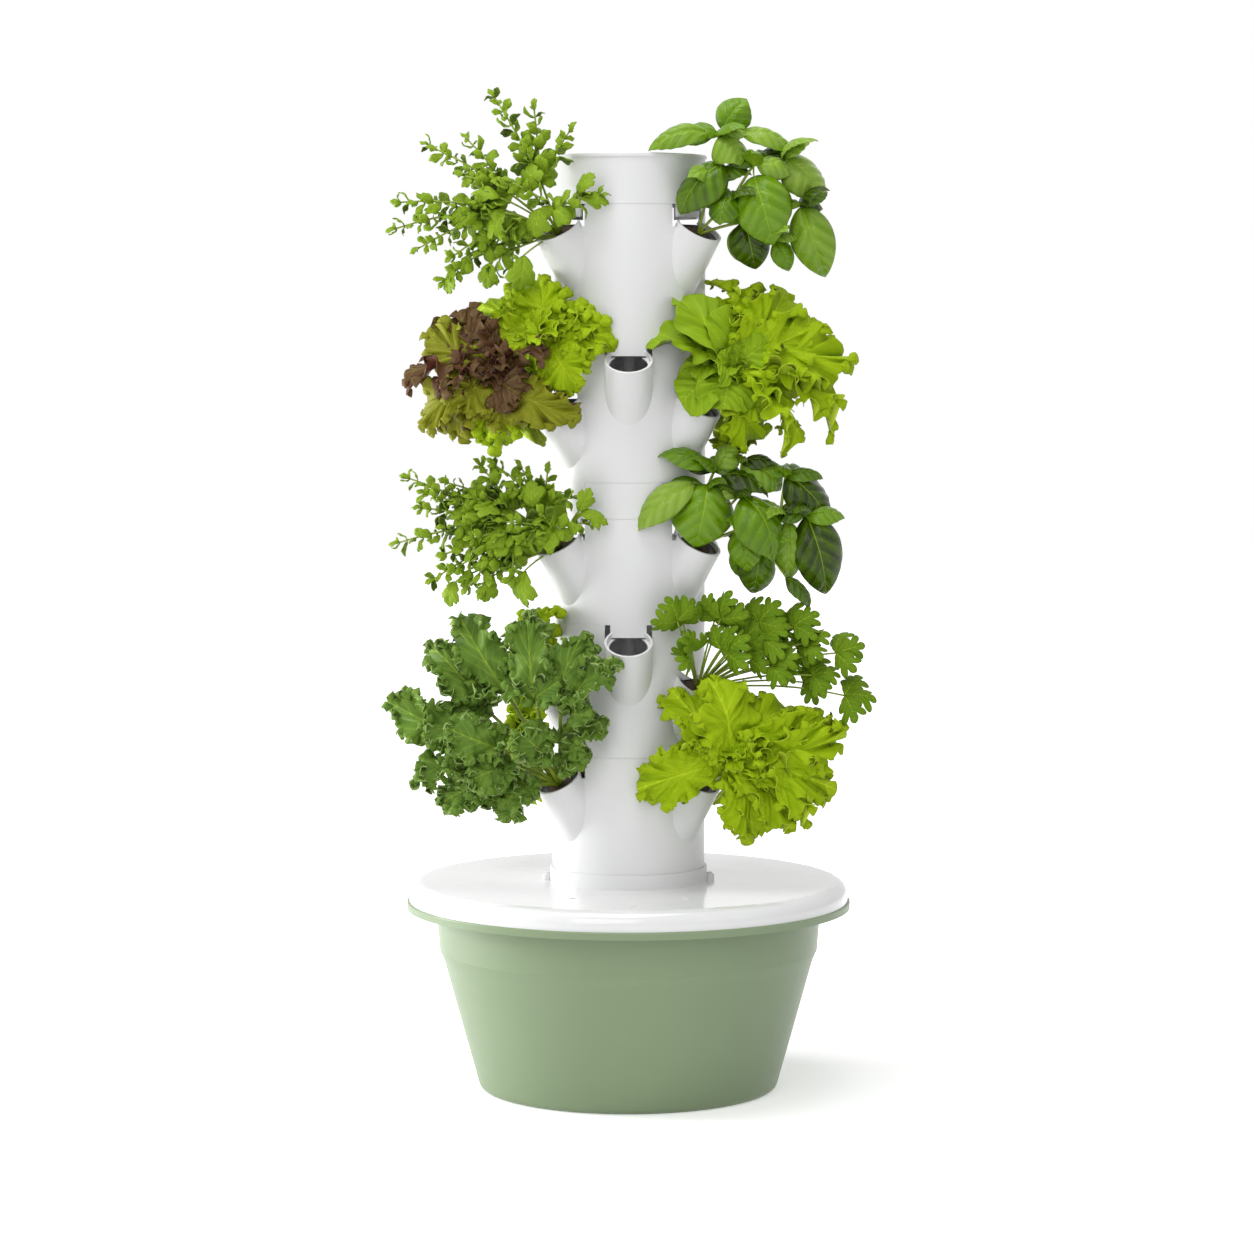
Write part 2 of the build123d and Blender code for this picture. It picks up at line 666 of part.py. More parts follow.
# Submersible pump, with its chamber open to the front under the riser
pump_middle = pump_depth / 2 - pump_front
bore_end = chamber_depth - pump_front + magnet_length + magnet_gap
cover_screw_places = GridLocations(
    pump_width - 2 * cover_screw_inset, pump_height - 2 * cover_screw_inset, 2, 2
)
front_plane = Plane(origin=(0, -pump_front, chamber_height), x_dir=(1, 0, 0), z_dir=(0, -1, 0))
with BuildPart() as pump_body:
    with Locations((0, pump_middle, chamber_height)):
        Box(pump_width, pump_depth, pump_height)
    fillet(pump_body.edges().filter_by(Axis.Y), pump_corner)
    with BuildSketch(Plane.XY.offset(pump_top)):
        Circle(outlet_radius)
    extrude(amount=outlet_height)
    with BuildSketch(front_plane):
        Circle(chamber_radius)
    extrude(amount=-chamber_depth, mode=Mode.SUBTRACT)
    with BuildSketch(front_plane):
        Circle(magnet_radius + magnet_gap)
    extrude(amount=-bore_end - pump_front, mode=Mode.SUBTRACT)
    with BuildSketch(front_plane):
        Circle(shaft_radius + running_gap)
    extrude(amount=-bore_end - pump_front - pump_wall, mode=Mode.SUBTRACT)
    with BuildSketch(front_plane):
        with cover_screw_places:
            Circle(screw_radius + seat_gap)
    extrude(amount=-cover_screw_hole, mode=Mode.SUBTRACT)
    with BuildSketch(Plane.XY.offset(chamber_height)):
        Circle(outlet_bore)
    extrude(amount=outlet_top - chamber_height, mode=Mode.SUBTRACT)
    with Locations((0, bore_end + 2 * pump_wall + stator_length / 2, chamber_height)):
        Box(2 * chamber_radius, stator_length + 2 * seat_gap, 2 * chamber_radius, mode=Mode.SUBTRACT)
save(pump_body, "pump_body")

with BuildPart() as pump_stator:
    with Locations((0, bore_end + 2 * pump_wall + stator_length / 2, chamber_height)):
        Box(2 * chamber_radius - 2 * seat_gap, stator_length, 2 * chamber_radius - 2 * seat_gap)
save(pump_stator, "pump_stator")

with BuildPart() as pump_cover:
    with BuildSketch(front_plane):
        RectangleRounded(pump_width - 2 * cover_edge, pump_height - 2 * cover_edge, pump_corner)
        with cover_screw_places:
            Circle(screw_radius + seat_gap, mode=Mode.SUBTRACT)
        with PolarLocations(intake_ring, intake_count):
            SlotCenterToCenter(intake_slot, intake_slot, mode=Mode.SUBTRACT)
    extrude(amount=cover_thickness)
    with BuildSketch(front_plane):
        Circle(shaft_radius + running_gap)
    extrude(amount=shaft_socket, mode=Mode.SUBTRACT)
save(pump_cover, "pump_cover")

with BuildPart() as pump_cover_screws:
    with BuildSketch(front_plane.offset(-screw_point)):
        with cover_screw_places:
            Circle(screw_radius)
    extrude(amount=screw_point + cover_thickness)
    with BuildSketch(front_plane.offset(cover_thickness)):
        with cover_screw_places:
            Circle(screw_head_radius)
    extrude(amount=screw_head_height)
save(pump_cover_screws, "pump_cover_screws")

with BuildPart() as pump_shaft:
    with BuildSketch(front_plane.offset(shaft_socket - seat_gap)):
        Circle(shaft_radius)
    extrude(amount=-(bore_end + pump_front + pump_wall + shaft_socket - 2 * seat_gap))
save(pump_shaft, "pump_shaft")

rotor_back = chamber_depth - (chamber_depth - impeller_depth) / 2
with BuildPart() as pump_rotor:
    with BuildSketch(front_plane.offset(-rotor_back)):
        Circle(impeller_hub)
        with PolarLocations(impeller_radius / 2, impeller_blades):
            Rectangle(impeller_radius, impeller_blade)
        Circle(impeller_radius, mode=Mode.INTERSECT)
    extrude(amount=impeller_depth)
    with BuildSketch(front_plane.offset(-rotor_back)):
        Circle(impeller_radius)
    extrude(amount=impeller_blade)
    with BuildSketch(front_plane):
        Circle(shaft_radius + running_gap)
    extrude(amount=-chamber_depth, mode=Mode.SUBTRACT)
save(pump_rotor, "pump_rotor")

with BuildPart() as rotor_magnet:
    with BuildSketch(front_plane.offset(-rotor_back)):
        Circle(magnet_radius)
        Circle(shaft_radius + running_gap, mode=Mode.SUBTRACT)
    extrude(amount=-magnet_length)
save(rotor_magnet, "rotor_magnet")

with BuildPart() as pump_feet:
    with Locations((0, pump_middle, basin_wall)):
        with GridLocations(pump_width - 2 * pump_foot_inset, pump_depth - 2 * pump_foot_inset, 2, 2):
            Cone(
                pump_foot_radius, pump_foot_tip, pump_foot_height,
                align=(Align.CENTER, Align.CENTER, Align.MIN),
            )
save(pump_feet, "pump_feet")

# Fill port cap with its seal, and the cable grommet
with BuildPart() as fill_cap:
    cap_level = lid_top + seal_thickness
    with BuildSketch(Plane.XY.offset(cap_level)):
        with Locations((0, fill_place)):
            Circle(fill_port_radius + fill_flange)
    extrude(amount=fill_cap_height)
    fillet(fill_cap.edges().group_by(Axis.Z)[-1], fill_cap_round)
    with BuildSketch(Plane.XY.offset(cap_level)):
        with Locations((0, fill_place)):
            Circle(fill_port_radius - fill_plug_gap)
            Circle(fill_port_radius - fill_plug_gap - fill_plug_wall, mode=Mode.SUBTRACT)
    extrude(amount=-fill_plug_depth)
    with BuildSketch(Plane.XY.offset(cap_level + fill_cap_height)):
        with Locations((0, fill_place)):
            SlotOverall(fill_grip_length, fill_grip_width)
    extrude(amount=fill_grip_height)
    fillet(fill_cap.edges().group_by(Axis.Z)[-1], fill_grip_round)
save(fill_cap, "fill_cap")

with BuildPart() as fill_cap_seal:
    with BuildSketch(Plane.XY.offset(lid_top)):
        with Locations((0, fill_place)):
            Circle(fill_port_radius + fill_flange - slip_gap)
            Circle(fill_port_radius + slip_gap, mode=Mode.SUBTRACT)
    extrude(amount=seal_thickness)
save(fill_cap_seal, "fill_cap_seal")

with BuildPart() as cable_grommet:
    with BuildSketch(Plane.XY.offset(lid_top - lid_wall - grommet_lip)):
        with Locations(grommet_place):
            Circle(grommet_hole - seat_gap)
    extrude(amount=lid_wall + 2 * grommet_lip)
    with BuildSketch(Plane.XY.offset(lid_top)):
        with Locations(grommet_place):
            Circle(grommet_hole + grommet_flange)
    extrude(amount=grommet_lip)
    with BuildSketch(Plane.XY.offset(lid_top - lid_wall)):
        with Locations(grommet_place):
            Circle(grommet_hole + grommet_catch)
    extrude(amount=-grommet_lip)
    with BuildSketch(Plane.XY.offset(lid_top + grommet_lip)):
        with Locations(grommet_place):
            Circle(grommet_bore)
    extrude(amount=-lid_wall - 2 * grommet_lip, mode=Mode.SUBTRACT)
save(cable_grommet, "cable_grommet")


def mouth_vector(azimuth, place):
    """A direction counted from a pocket's mouth, turned to the pocket's azimuth."""
    right, near, up = place
    hand = 1 if azimuth > 0 else -1
    turn = radians(azimuth - hand * side_azimuth)
    across = hand * right
    return Vector(
        across * cos(turn) + near * sin(turn),
        across * sin(turn) - near * cos(turn),
        up,
    )


def mouth_point(pocket, place):
    azimuth, lip_height = pocket
    centre = outward(azimuth) * pocket_centre + Vector(0, 0, lip_height)
    return centre + mouth_vector(azimuth, place)


def rod(start, end, radius):
    """Round stem between two points, carried on a little past its end."""
    with BuildPart(Plane(origin=start, z_dir=end - start)) as stem:
        Cylinder(
            radius, (end - start).length + radius,
            align=(Align.CENTER, Align.CENTER, Align.MIN),
        )
    return stem.part


def leaf_plane(base, tip, facing):
    """Plane at a leaf's stalk end, with X towards its tip and Z out of its upper face."""
    along = (tip - base).normalized()
    return Plane(origin=base, x_dir=along, z_dir=facing - along * facing.dot(along))


def blade(base, tip, width, facing, is_fan):
    """One leaf cut from a thin dome: a pointed oval, or a fan that is widest near its end."""
    length = (tip - base).length
    rise = leaf_crown * length
    dome = (length**2 / 4 + rise**2) / (2 * rise)
    plane = leaf_plane(base, tip, facing)
    half = width / 2
    with BuildPart(plane) as leaf:
        with Locations((length / 2, 0, rise - dome)):
            Sphere(dome, rotation=(90, 0, 0))
            Sphere(dome - leaf_thickness, rotation=(90, 0, 0), mode=Mode.SUBTRACT)
        with BuildSketch(plane.offset(-length / 2)):
            with BuildLine():
                if is_fan:
                    Line((0, leaf_base), (leaf_shoulder * length, half))
                    ThreePointArc(
                        (leaf_shoulder * length, half), (length, 0), (leaf_shoulder * length, -half)
                    )
                    Line((leaf_shoulder * length, -half), (0, -leaf_base))
                else:
                    ThreePointArc((0, leaf_base), (oval_widest * length, half), (length, 0))
                    ThreePointArc((length, 0), (oval_widest * length, -half), (0, -leaf_base))
                Line((0, -leaf_base), (0, leaf_base))
            make_face()
        extrude(amount=length / 2 + rise + leaf_thickness, mode=Mode.INTERSECT)
    return leaf.part


def leaf_plate(plane, leaflets):
    """Flat leaflets in one plane, each as (place along it, heading, length, width)."""
    with BuildPart() as plate:
        with BuildSketch(plane.offset(-leaflet_thickness / 2)):
            for along, heading, length, width in leaflets:
                with Locations(Location((along, 0, 0), (0, 0, heading))):
                    with Locations((length / 2, 0)):
                        Ellipse(length / 2, width / 2)
        extrude(amount=leaflet_thickness)
    return plate.part


def basil(pocket, joints, links, leaves):
    points = [mouth_point(pocket, place) for place in joints]
    facing = mouth_vector(pocket[0], facing_up)
    pieces = [rod(points[a], points[b], stem_radius) for a, b in links]
    for joint, base, tip, width in leaves:
        stalk_end = mouth_point(pocket, base)
        pieces.append(rod(points[joint], stalk_end, petiole_radius))
        pieces.append(blade(stalk_end, mouth_point(pocket, tip), width, facing, False))
    return pieces


def rosette(pocket, heart, leaves, side=0):
    """Leaves round a heart. In a shared cup, side tells which half the plant is rooted in."""
    middle = mouth_point(pocket, heart)
    root = mouth_point(pocket, plant_root) + pocket_plane(*pocket).x_dir * side * root_offset
    up_stem = (middle - root).normalized() * heart_radius
    facing = mouth_vector(pocket[0], facing_out)
    pieces = [
        rod(root, middle, rosette_radius),
        rod(middle - up_stem, middle, heart_radius),
    ]
    for tip, width in leaves:
        pieces.append(blade(middle, mouth_point(pocket, tip), width, facing, True))
    return pieces


def kale(pocket, leaves):
    root = mouth_point(pocket, plant_root)
    facing = mouth_vector(pocket[0], facing_out)
    pieces = []
    for base, tip, width in leaves:
        stalk_end = mouth_point(pocket, base)
        pieces.append(rod(root, stalk_end, stem_radius))
        pieces.append(blade(stalk_end, mouth_point(pocket, tip), width, facing, True))
    return pieces


def parsley(pocket, leaves):
    """Each leaf is three leaflets round the end of its own stalk."""
    root = mouth_point(pocket, plant_root)
    facing = mouth_vector(pocket[0], facing_up)
    pieces = []
    for place, reach in leaves:
        middle = mouth_point(pocket, place)
        plane = leaf_plane(middle, middle + (middle - root), facing)
        headings = (-parsley_spread, 0, parsley_spread)
        pieces.append(rod(root, middle, petiole_radius))
        pieces.append(leaf_plate(plane, [(0, h, reach, reach * parsley_leaf_ratio) for h in headings]))
    return pieces


def herb(pocket, branches):
    """Stems branch into sprigs, which carry pairs of leaves and one more leaf at the tip."""
    root = mouth_point(pocket, plant_root)
    facing = mouth_vector(pocket[0], facing_up)
    pieces = []
    for joint, tips in branches:
        branch = mouth_point(pocket, joint)
        pieces.append(rod(root, branch, stem_radius))
        for place in tips:
            tip = mouth_point(pocket, place)
            reach = (tip - branch).length
            leaflets = [(reach, 0, herb_tip_leaf, herb_tip_leaf * herb_leaf_ratio)]
            for pair in range(herb_pairs):
                grown = (pair + 1) / (herb_pairs + 1)
                size = herb_leaf + (herb_tip_leaf - herb_leaf) * grown
                for heading in (-herb_leaf_angle, herb_leaf_angle):
                    leaflets.append((grown * reach, heading, size, size * herb_leaf_ratio))
            pieces.append(rod(branch, tip, twig_radius))
            pieces.append(leaf_plate(leaf_plane(branch, tip, facing), leaflets))
    return pieces


def build_cup(name, pocket):
    """Slotted cup that hangs by a flange on the pocket's ledge. The flange is cut off on the column's
    side, so that the cup draws out past the tab above it."""
    plane = pocket_plane(*pocket)
    with BuildPart(plane) as cup:
        with Locations((0, 0, cup_top)):
            Cone(cup_foot_radius, cup_radius, cup_length, align=(Align.CENTER, Align.CENTER, Align.MAX))
            Cylinder(
                pocket_bore - cup_flange_gap, cup_flange_thickness,
                align=(Align.CENTER, Align.CENTER, Align.MAX),
            )
        with Locations((0, cup_radius, cup_top)):
            Box(
                2 * pocket_radius, pocket_radius, 3 * cup_flange_thickness,
                align=(Align.CENTER, Align.MIN, Align.CENTER), mode=Mode.SUBTRACT,
            )
        with Locations((0, 0, cup_top)):
            Cone(
                cup_foot_radius - cup_wall, cup_radius - cup_wall, cup_length - cup_wall,
                align=(Align.CENTER, Align.CENTER, Align.MAX), mode=Mode.SUBTRACT,
            )
        with Locations((0, 0, cup_top - cup_slot_drop)):
            with PolarLocations(cup_foot_radius + cup_wall, cup_slot_count):
                Box(6 * cup_wall, cup_slot_width, cup_slot_length, mode=Mode.SUBTRACT)
    save(cup, name)


def plug(pocket, side=0):
    """Root plug that fills the cup, or half of it on one side in a shared cup."""
    plane = pocket_plane(*pocket)
    mouth = cup_radius - cup_wall - plug_gap
    foot = mouth - (cup_radius - cup_foot_radius) * plug_length / cup_length
    with BuildPart(plane) as body:
        with Locations((0, 0, cup_top)):
            Cone(foot, mouth, plug_length, align=(Align.CENTER, Align.CENTER, Align.MAX))
        if side:
            with Locations((side * (plug_gap / 2 - cup_radius), 0, cup_top)):
                Box(2 * cup_radius, 2 * cup_radius, 3 * plug_length, mode=Mode.SUBTRACT)
    return body.part


def fuse(pieces):
    with BuildPart() as plant:
        add(pieces)
    return plant


# Net cups, one in each planted pocket
pockets = {
    "1_left": (-side_azimuth, lip_1),
    "1_right": (side_azimuth, lip_1),
    "2_left": (-side_azimuth, lip_2),
    "2_right": (side_azimuth, lip_2),
    "3_left": (-side_azimuth, lip_3),
    "3_right": (side_azimuth, lip_3),
    "4_left": (-side_azimuth, lip_4),
    "4_right": (side_azimuth, lip_4),
    "5_left": (-side_azimuth, lip_5),
    "5_right": (side_azimuth, lip_5),
    "2_rear_left": (-rear_azimuth, lip_2),
    "2_rear_right": (rear_azimuth, lip_2),
    "5_rear_left": (-rear_azimuth, lip_5),
    "5_rear_right": (rear_azimuth, lip_5),
}
for place, pocket in pockets.items():
    build_cup(f"net_cup_{place}", pocket)

# Plants, each one solid with its root plug
plants = {
    "upper_herb": ("1_left", herb, upper_herb_branches),
    "upper_basil": ("1_right", basil, upper_basil_joints, upper_basil_links, upper_basil_leaves),
    "right_lettuce": ("2_right", rosette, right_lettuce_heart, right_lettuce_leaves),
    "lower_herb": ("3_left", herb, lower_herb_branches),
    "lower_basil": ("3_right", basil, lower_basil_joints, lower_basil_links, lower_basil_leaves),
    "young_lettuce": ("4_left", rosette, young_lettuce_heart, young_lettuce_leaves),
    "parsley": ("4_right", parsley, parsley_leaves),
    "kale": ("5_left", kale, kale_leaves),
    "bright_lettuce": ("5_right", rosette, bright_lettuce_heart, bright_lettuce_leaves),
}
for name, (place, grow, *form) in plants.items():
    pocket = pockets[place]
    save(fuse([plug(pocket)] + grow(pocket, *form)), name)

# The cup at the left of section 2 holds two lettuces, each with half of the plug
shared_plants = {
    "red_lettuce": (-1, red_lettuce_heart, red_lettuce_leaves),
    "left_lettuce": (1, left_lettuce_heart, left_lettuce_leaves),
}
for name, (side, heart, leaves) in shared_plants.items():
    pocket = pockets["2_left"]
    save(fuse([plug(pocket, side)] + rosette(pocket, heart, leaves, side)), name)

# One lettuce, set in the four rear pockets
rear_lettuce = fuse(
    [plug(pockets["2_rear_right"])]
    + rosette(pockets["2_rear_right"], rear_lettuce_heart, rear_lettuce_leaves)
)
for section, lip_height in ((2, lip_2), (5, lip_5)):
    with BuildPart() as right_plant:
        with Locations((0, 0, lip_height - lip_2)):
            add(rear_lettuce.part)
    save(right_plant, f"rear_lettuce_{section}_right")
    with BuildPart() as left_plant:
        mirror(right_plant.part, about=Plane.YZ)
    save(left_plant, f"rear_lettuce_{section}_left")
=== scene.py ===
import json
import math
import random
from dataclasses import dataclass, replace

import bmesh
import bpy
from bpy.props import FloatProperty, FloatVectorProperty, PointerProperty
from bpy.types import Operator, Panel, PropertyGroup
from mathutils import Matrix, Vector


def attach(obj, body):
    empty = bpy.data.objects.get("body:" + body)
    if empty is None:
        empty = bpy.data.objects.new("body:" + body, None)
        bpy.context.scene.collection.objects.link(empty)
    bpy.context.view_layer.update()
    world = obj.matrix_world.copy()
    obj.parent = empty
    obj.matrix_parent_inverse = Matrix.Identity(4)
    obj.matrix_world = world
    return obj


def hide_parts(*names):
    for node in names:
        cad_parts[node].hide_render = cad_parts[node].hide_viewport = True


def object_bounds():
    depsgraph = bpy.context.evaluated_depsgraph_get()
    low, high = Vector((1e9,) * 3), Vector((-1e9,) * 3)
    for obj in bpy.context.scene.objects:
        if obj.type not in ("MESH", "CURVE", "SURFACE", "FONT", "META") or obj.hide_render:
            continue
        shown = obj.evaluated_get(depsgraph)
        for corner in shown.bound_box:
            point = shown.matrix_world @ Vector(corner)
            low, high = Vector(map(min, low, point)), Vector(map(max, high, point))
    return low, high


bl_info = {
    "name": "Hydroponic tower",
    "version": (1, 0, 0),
    "blender": (4, 5, 0),
    "location": "View3D > Sidebar > Tower",
    "description": "Finishes, plants and a studio stage for a hydroponic growing tower",
    "category": "Object",
}

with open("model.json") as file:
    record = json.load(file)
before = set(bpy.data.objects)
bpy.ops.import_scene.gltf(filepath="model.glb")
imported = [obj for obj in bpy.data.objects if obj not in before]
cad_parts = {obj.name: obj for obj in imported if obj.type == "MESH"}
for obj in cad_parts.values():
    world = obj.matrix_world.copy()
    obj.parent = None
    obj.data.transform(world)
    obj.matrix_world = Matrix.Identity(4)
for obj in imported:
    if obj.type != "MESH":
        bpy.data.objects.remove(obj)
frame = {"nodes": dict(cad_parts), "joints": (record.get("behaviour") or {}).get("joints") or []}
CAD_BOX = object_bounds()

MM = 0.001
FULL_TURN = 2 * math.pi
PHOTO_SIDE = 1254
SENSOR_WIDTH = 36.0

# Pockets, as the solids have them
POCKET_CENTRE = 121 * MM
SIDE_AZIMUTH = math.radians(52)
CUP_TOP = -5.8 * MM
PLUG_LENGTH = 30 * MM
PLUG_MOUTH = 18.4 * MM
PLUG_FOOT = 15.5 * MM
PLUG_SIDES = 28
PLUG_ROUNDING = 1.5 * MM
SHARP_EDGE = 1.0

# Leaves and stems: how leaf_point cuts and curls every leaf, and the painted shade it gives it, lighter
# on its ridges and darker in its hollows
LEAF_CROWN = 0.14
LEAF_BEND = 0.1
GRID_RATIO = 0.8
SEAM_GAP = 1e-6
RIM_CROWDING = 1.5
RIM_ROW = 0.999
RIM_GROWTH = 0.9
TOOTH_SHARE = 0.6
TOOTH_RATE = 0.62
LOBE_POWER = 0.6
SCALLOP_POWER = 0.8
CLEFT_POWER = 1.2
SWELL = 0.3
SWELLS = 3
RIPPLE_RATE = 1.7
RIB_SLANT = 0.35
PUCKER_LIMIT = 1.2
GROOVE_WIDTH = 0.14
TIP_GAP = 1e-4
WAVE_SHADE = 2.6
PUCKER_SHADE = 5.0
RIDGE_SHADE_SHARE = 0.5
CURL_START = 0.12
CURL_OVERLAP = 0.6
CURL_RATIO = 1.15
STEM_SIDES = 8
STEM_STEPS = 6

# Plants. Places are millimetres from the middle of a pocket's lip, for a pocket at the right of the
# front: to the right, then towards the viewer, then up. Left-hand plants are mirrored.
PLANT_ROOT = (-2, -2, -8)
ROOT_OFFSET = 9 * MM
FACING_UP = (0.0, 0.75, 0.66)
FACING_OUT = (0.4, 0.75, 0.5)

# Basil: joints of the stems, pairs of joints that a stem links, and leaves as
# (joint, stalk end, tip, width)
BASIL_WIDTH = 1.3
BASIL_BOW = 0.03
BASIL_TAPER = 0.8
BASIL_STALK_BOW = 0.06
BASIL_STALK_TAPER = 0.7
YOUNG_BASIL = 4
YOUNG_SWAY = 40
YOUNG_RISE = (0.0, 0.7)
YOUNG_SIZE = (34, 54)
YOUNG_RATIO = 0.62
YOUNG_LIFT = Vector((0, 0, 0.4))
UPPER_BASIL_JOINTS = (
    PLANT_ROOT, (18, 8, 70), (26, 10, 124), (45, 16, 40), (72, 18, 84),
    (113, 4, 94), (136, 5, 30), (57, 4, 8), (100, 6, -14),
)
UPPER_BASIL_LINKS = ((0, 1), (1, 2), (0, 3), (3, 4), (4, 5), (3, 6), (0, 7), (7, 8))
UPPER_BASIL_LEAVES = (
    (2, (30, 5, 132), (58, 12, 175), 38),
    (2, (13, 14, 127), (-68, 34, 118), 30),
    (2, (22, 2, 130), (-30, -6, 126), 26),
    (2, (54, 5, 129), (128, 8, 108), 32),
    (2, (28, 16, 124), (60, 36, 92), 42),
    (4, (76, 18, 88), (126, 22, 76), 30),
    (5, (116, 3, 96), (165, 6, 40), 45),
    (1, (30, 22, 88), (-26, 38, 24), 50),
    (4, (72, 30, 70), (101, 54, -16), 60),
    (3, (37, 26, 45), (28, 46, 8), 35),
    (7, (62, 6, 10), (73, 4, -55), 42),
    (7, (54, -6, 4), (58, -22, -48), 28),
    (8, (102, 6, -16), (126, 8, -53), 25),
    (6, (138, 4, 30), (168, 6, -65), 46),
)
LOWER_BASIL_JOINTS = (
    PLANT_ROOT, (10, 10, 70), (20, 12, 96), (52, 18, 62), (58, 10, 108),
    (117, 6, 90), (144, 6, 37), (62, 10, 20), (84, 2, -8), (110, 10, 40),
)
LOWER_BASIL_LINKS = (
    (0, 1), (1, 2), (0, 3), (3, 4), (3, 9), (9, 5), (9, 6), (0, 7), (7, 8),
)
LOWER_BASIL_LEAVES = (
    (2, (14, 18, 103), (-50, 34, 126), 30),
    (1, (-8, 26, 82), (-86, 46, 25), 36),
    (2, (24, 10, 99), (49, 14, 134), 30),
    (2, (30, 16, 92), (95, 26, 76), 34),
    (4, (60, 10, 110), (113, 12, 74), 44),
    (5, (119, 5, 91), (175, 6, 33), 46),
    (1, (11, 26, 80), (1, 46, -2), 66),
    (3, (60, 30, 64), (108, 56, -14), 57),
    (7, (61, 16, 20), (61, 28, -36), 36),
    (8, (84, 0, -10), (72, -6, -72), 40),
    (7, (58, -6, 2), (62, -24, -52), 28),
    (9, (121, 5, 28), (118, 0, -52), 34),
    (6, (146, 6, 36), (184, 8, -67), 52),
    (8, (118, 4, -48), (155, 6, -85), 24),
)

# Rosettes: heart of the plant, then leaves as a tip and a width
ROSETTE_WIDTH = 1.25
ROSETTE_CURLS = 15
ROSETTE_STALK = (6 * MM, 5 * MM)
INNER_PLACE = (0.35, 0.65)
INNER_REACH = (0.62, 0.8)
INNER_SWAY = 0.7
HEART_LEAVES = 5
HEART_REACH = 40 * MM
HEART_WIDTH = 44 * MM
HEART_SWAY = 0.4
HEART_LEAN = (0.3, 0.8)
HEART_GROWTH = (0.7, 1)
RIGHT_LETTUCE_HEART = (36, 24, 46)
RIGHT_SMOOTH_LEAVES = (
    (-34, 30, 146, 62), (-62, 46, 92, 56), (-29, 50, 9, 62), (33, 60, -5, 70),
    (38, 26, 136, 60), (100, 34, 88, 52), (20, 62, 60, 52),
)
RIGHT_FRILLED_LEAVES = (
    (46, -42, 178, 54), (82, -20, 166, 58), (119, 0, 160, 60), (161, 4, 118, 60),
    (211, 8, 54, 66), (198, 10, -12, 60), (140, 14, -42, 66), (74, -8, -60, 58),
    (50, -40, -48, 40),
)
LEFT_LETTUCE_HEART = (8, 30, 84)
LEFT_LETTUCE_LEAVES = (
    (122, 2, 106, 46), (108, -40, 140, 50), (66, -34, 166, 54), (18, 18, 170, 54),
    (-28, 26, 142, 52), (-72, 48, 92, 46), (-24, 60, 26, 56), (-50, 40, 126, 44),
)
RED_LETTUCE_HEART = (84, 24, 38)
RED_LETTUCE_LEAVES = (
    (206, 26, 45, 56), (137, 32, 122, 54), (98, 44, 116, 52), (26, 72, 82, 60),
    (52, 72, 20, 58), (158, 58, 30, 60),
)
RED_LETTUCE_OLIVE_LEAVES = (
    (181, 18, 94, 54), (142, 54, 0, 60), (190, 20, -18, 52), (146, 10, -42, 50),
    (60, 40, -32, 50), (-22, 54, -16, 50),
)
RED_LETTUCE_GREEN_LEAVES = ((74, 2, -62, 46), (110, 2, -50, 44))
BRIGHT_LETTUCE_HEART = (36, 42, 30)
BRIGHT_LETTUCE_LEAVES = (
    (22, 74, 140, 84), (-42, 58, 122, 54), (-86, 54, 4, 58), (10, 70, 64, 36),
    (84, 78, 46, 50), (122, 32, 110, 62), (178, 34, 84, 58), (202, 32, 52, 54),
    (188, 34, -4, 56), (160, 40, -38, 56), (130, 42, -64, 56), (75, 32, -82, 60),
)
YOUNG_LETTUCE_HEART = (20, 2, 34)
YOUNG_LETTUCE_LEAVES = ((50, -10, 98, 34), (14, 8, 104, 32), (30, -30, 84, 34))
REAR_LETTUCE_HEART = (30, 26, 34)
REAR_LETTUCE_LEAVES = (
    (58, 12, 122, 50), (98, 6, 100, 54), (134, 34, 58, 54), (124, 62, 8, 54),
    (66, 92, -4, 52), (16, 82, 60, 46), (72, 26, -56, 48), (108, 20, -36, 48),
    (60, 60, 100, 44),
)

# Kale: leaves as (stalk end, tip, width), all from the pocket's mouth
MAIN_CURLS = 46
SIDE_CURLS = 12
KALE_BOW = 0.02
KALE_STALK = 1.5
KALE_WIDTH = 0.85
KALE_SIDE_ANGLE = math.radians(66)
KALE_SIDE_SHARE = 0.42
KALE_SIDE_WIDTH = 0.6
KALE_LEAVES = (
    ((110, 16, 52), (231, 6, 109), 72), ((92, 10, 92), (181, -8, 180), 70),
    ((68, 24, 118), (127, -4, 228), 74), ((30, 66, 112), (36, 60, 232), 64),
    ((-4, 66, 110), (-26, 66, 206), 58), ((-18, 72, 98), (-64, 90, 174), 54),
    ((-14, 58, 54), (-56, 64, 94), 50), ((108, 24, 14), (197, 28, 17), 70),
    ((92, 26, -2), (160, 26, -32), 60), ((46, 40, 0), (76, 46, -48), 58),
    ((104, 30, 46), (180, 30, 88), 66), ((22, 60, 40), (42, 100, 76), 70),
    ((-8, 46, 26), (-36, 58, 46), 44), ((66, 44, 22), (116, 68, 10), 66),
    ((80, 46, 48), (148, 66, 72), 70),
)

# Parsley: leaves as a middle and a reach, and how those behind them differ
PARSLEY_BOW = 0.05
PARSLEY_SPREAD = math.radians(64)
PARSLEY_RATIO = 0.9
PARSLEY_GROWTH = 1.5
PARSLEY_BEHIND = 14
PARSLEY_BEHIND_WIDTH = 0.72
PARSLEY_BEHIND_HEIGHT = 0.8
PARSLEY_BEHIND_REACH = 0.85
PARSLEY_LEAVES = (
    (-30, 46, 90, 26), (29, 26, 92, 27), (81, 16, 86, 27), (128, 12, 80, 26),
    (-14, 54, 44, 25), (40, 44, 46, 28), (88, 28, 62, 27), (142, 14, 58, 25),
    (186, 10, 44, 27), (96, 34, 30, 28), (154, 14, 14, 25), (198, 10, -14, 29),
)

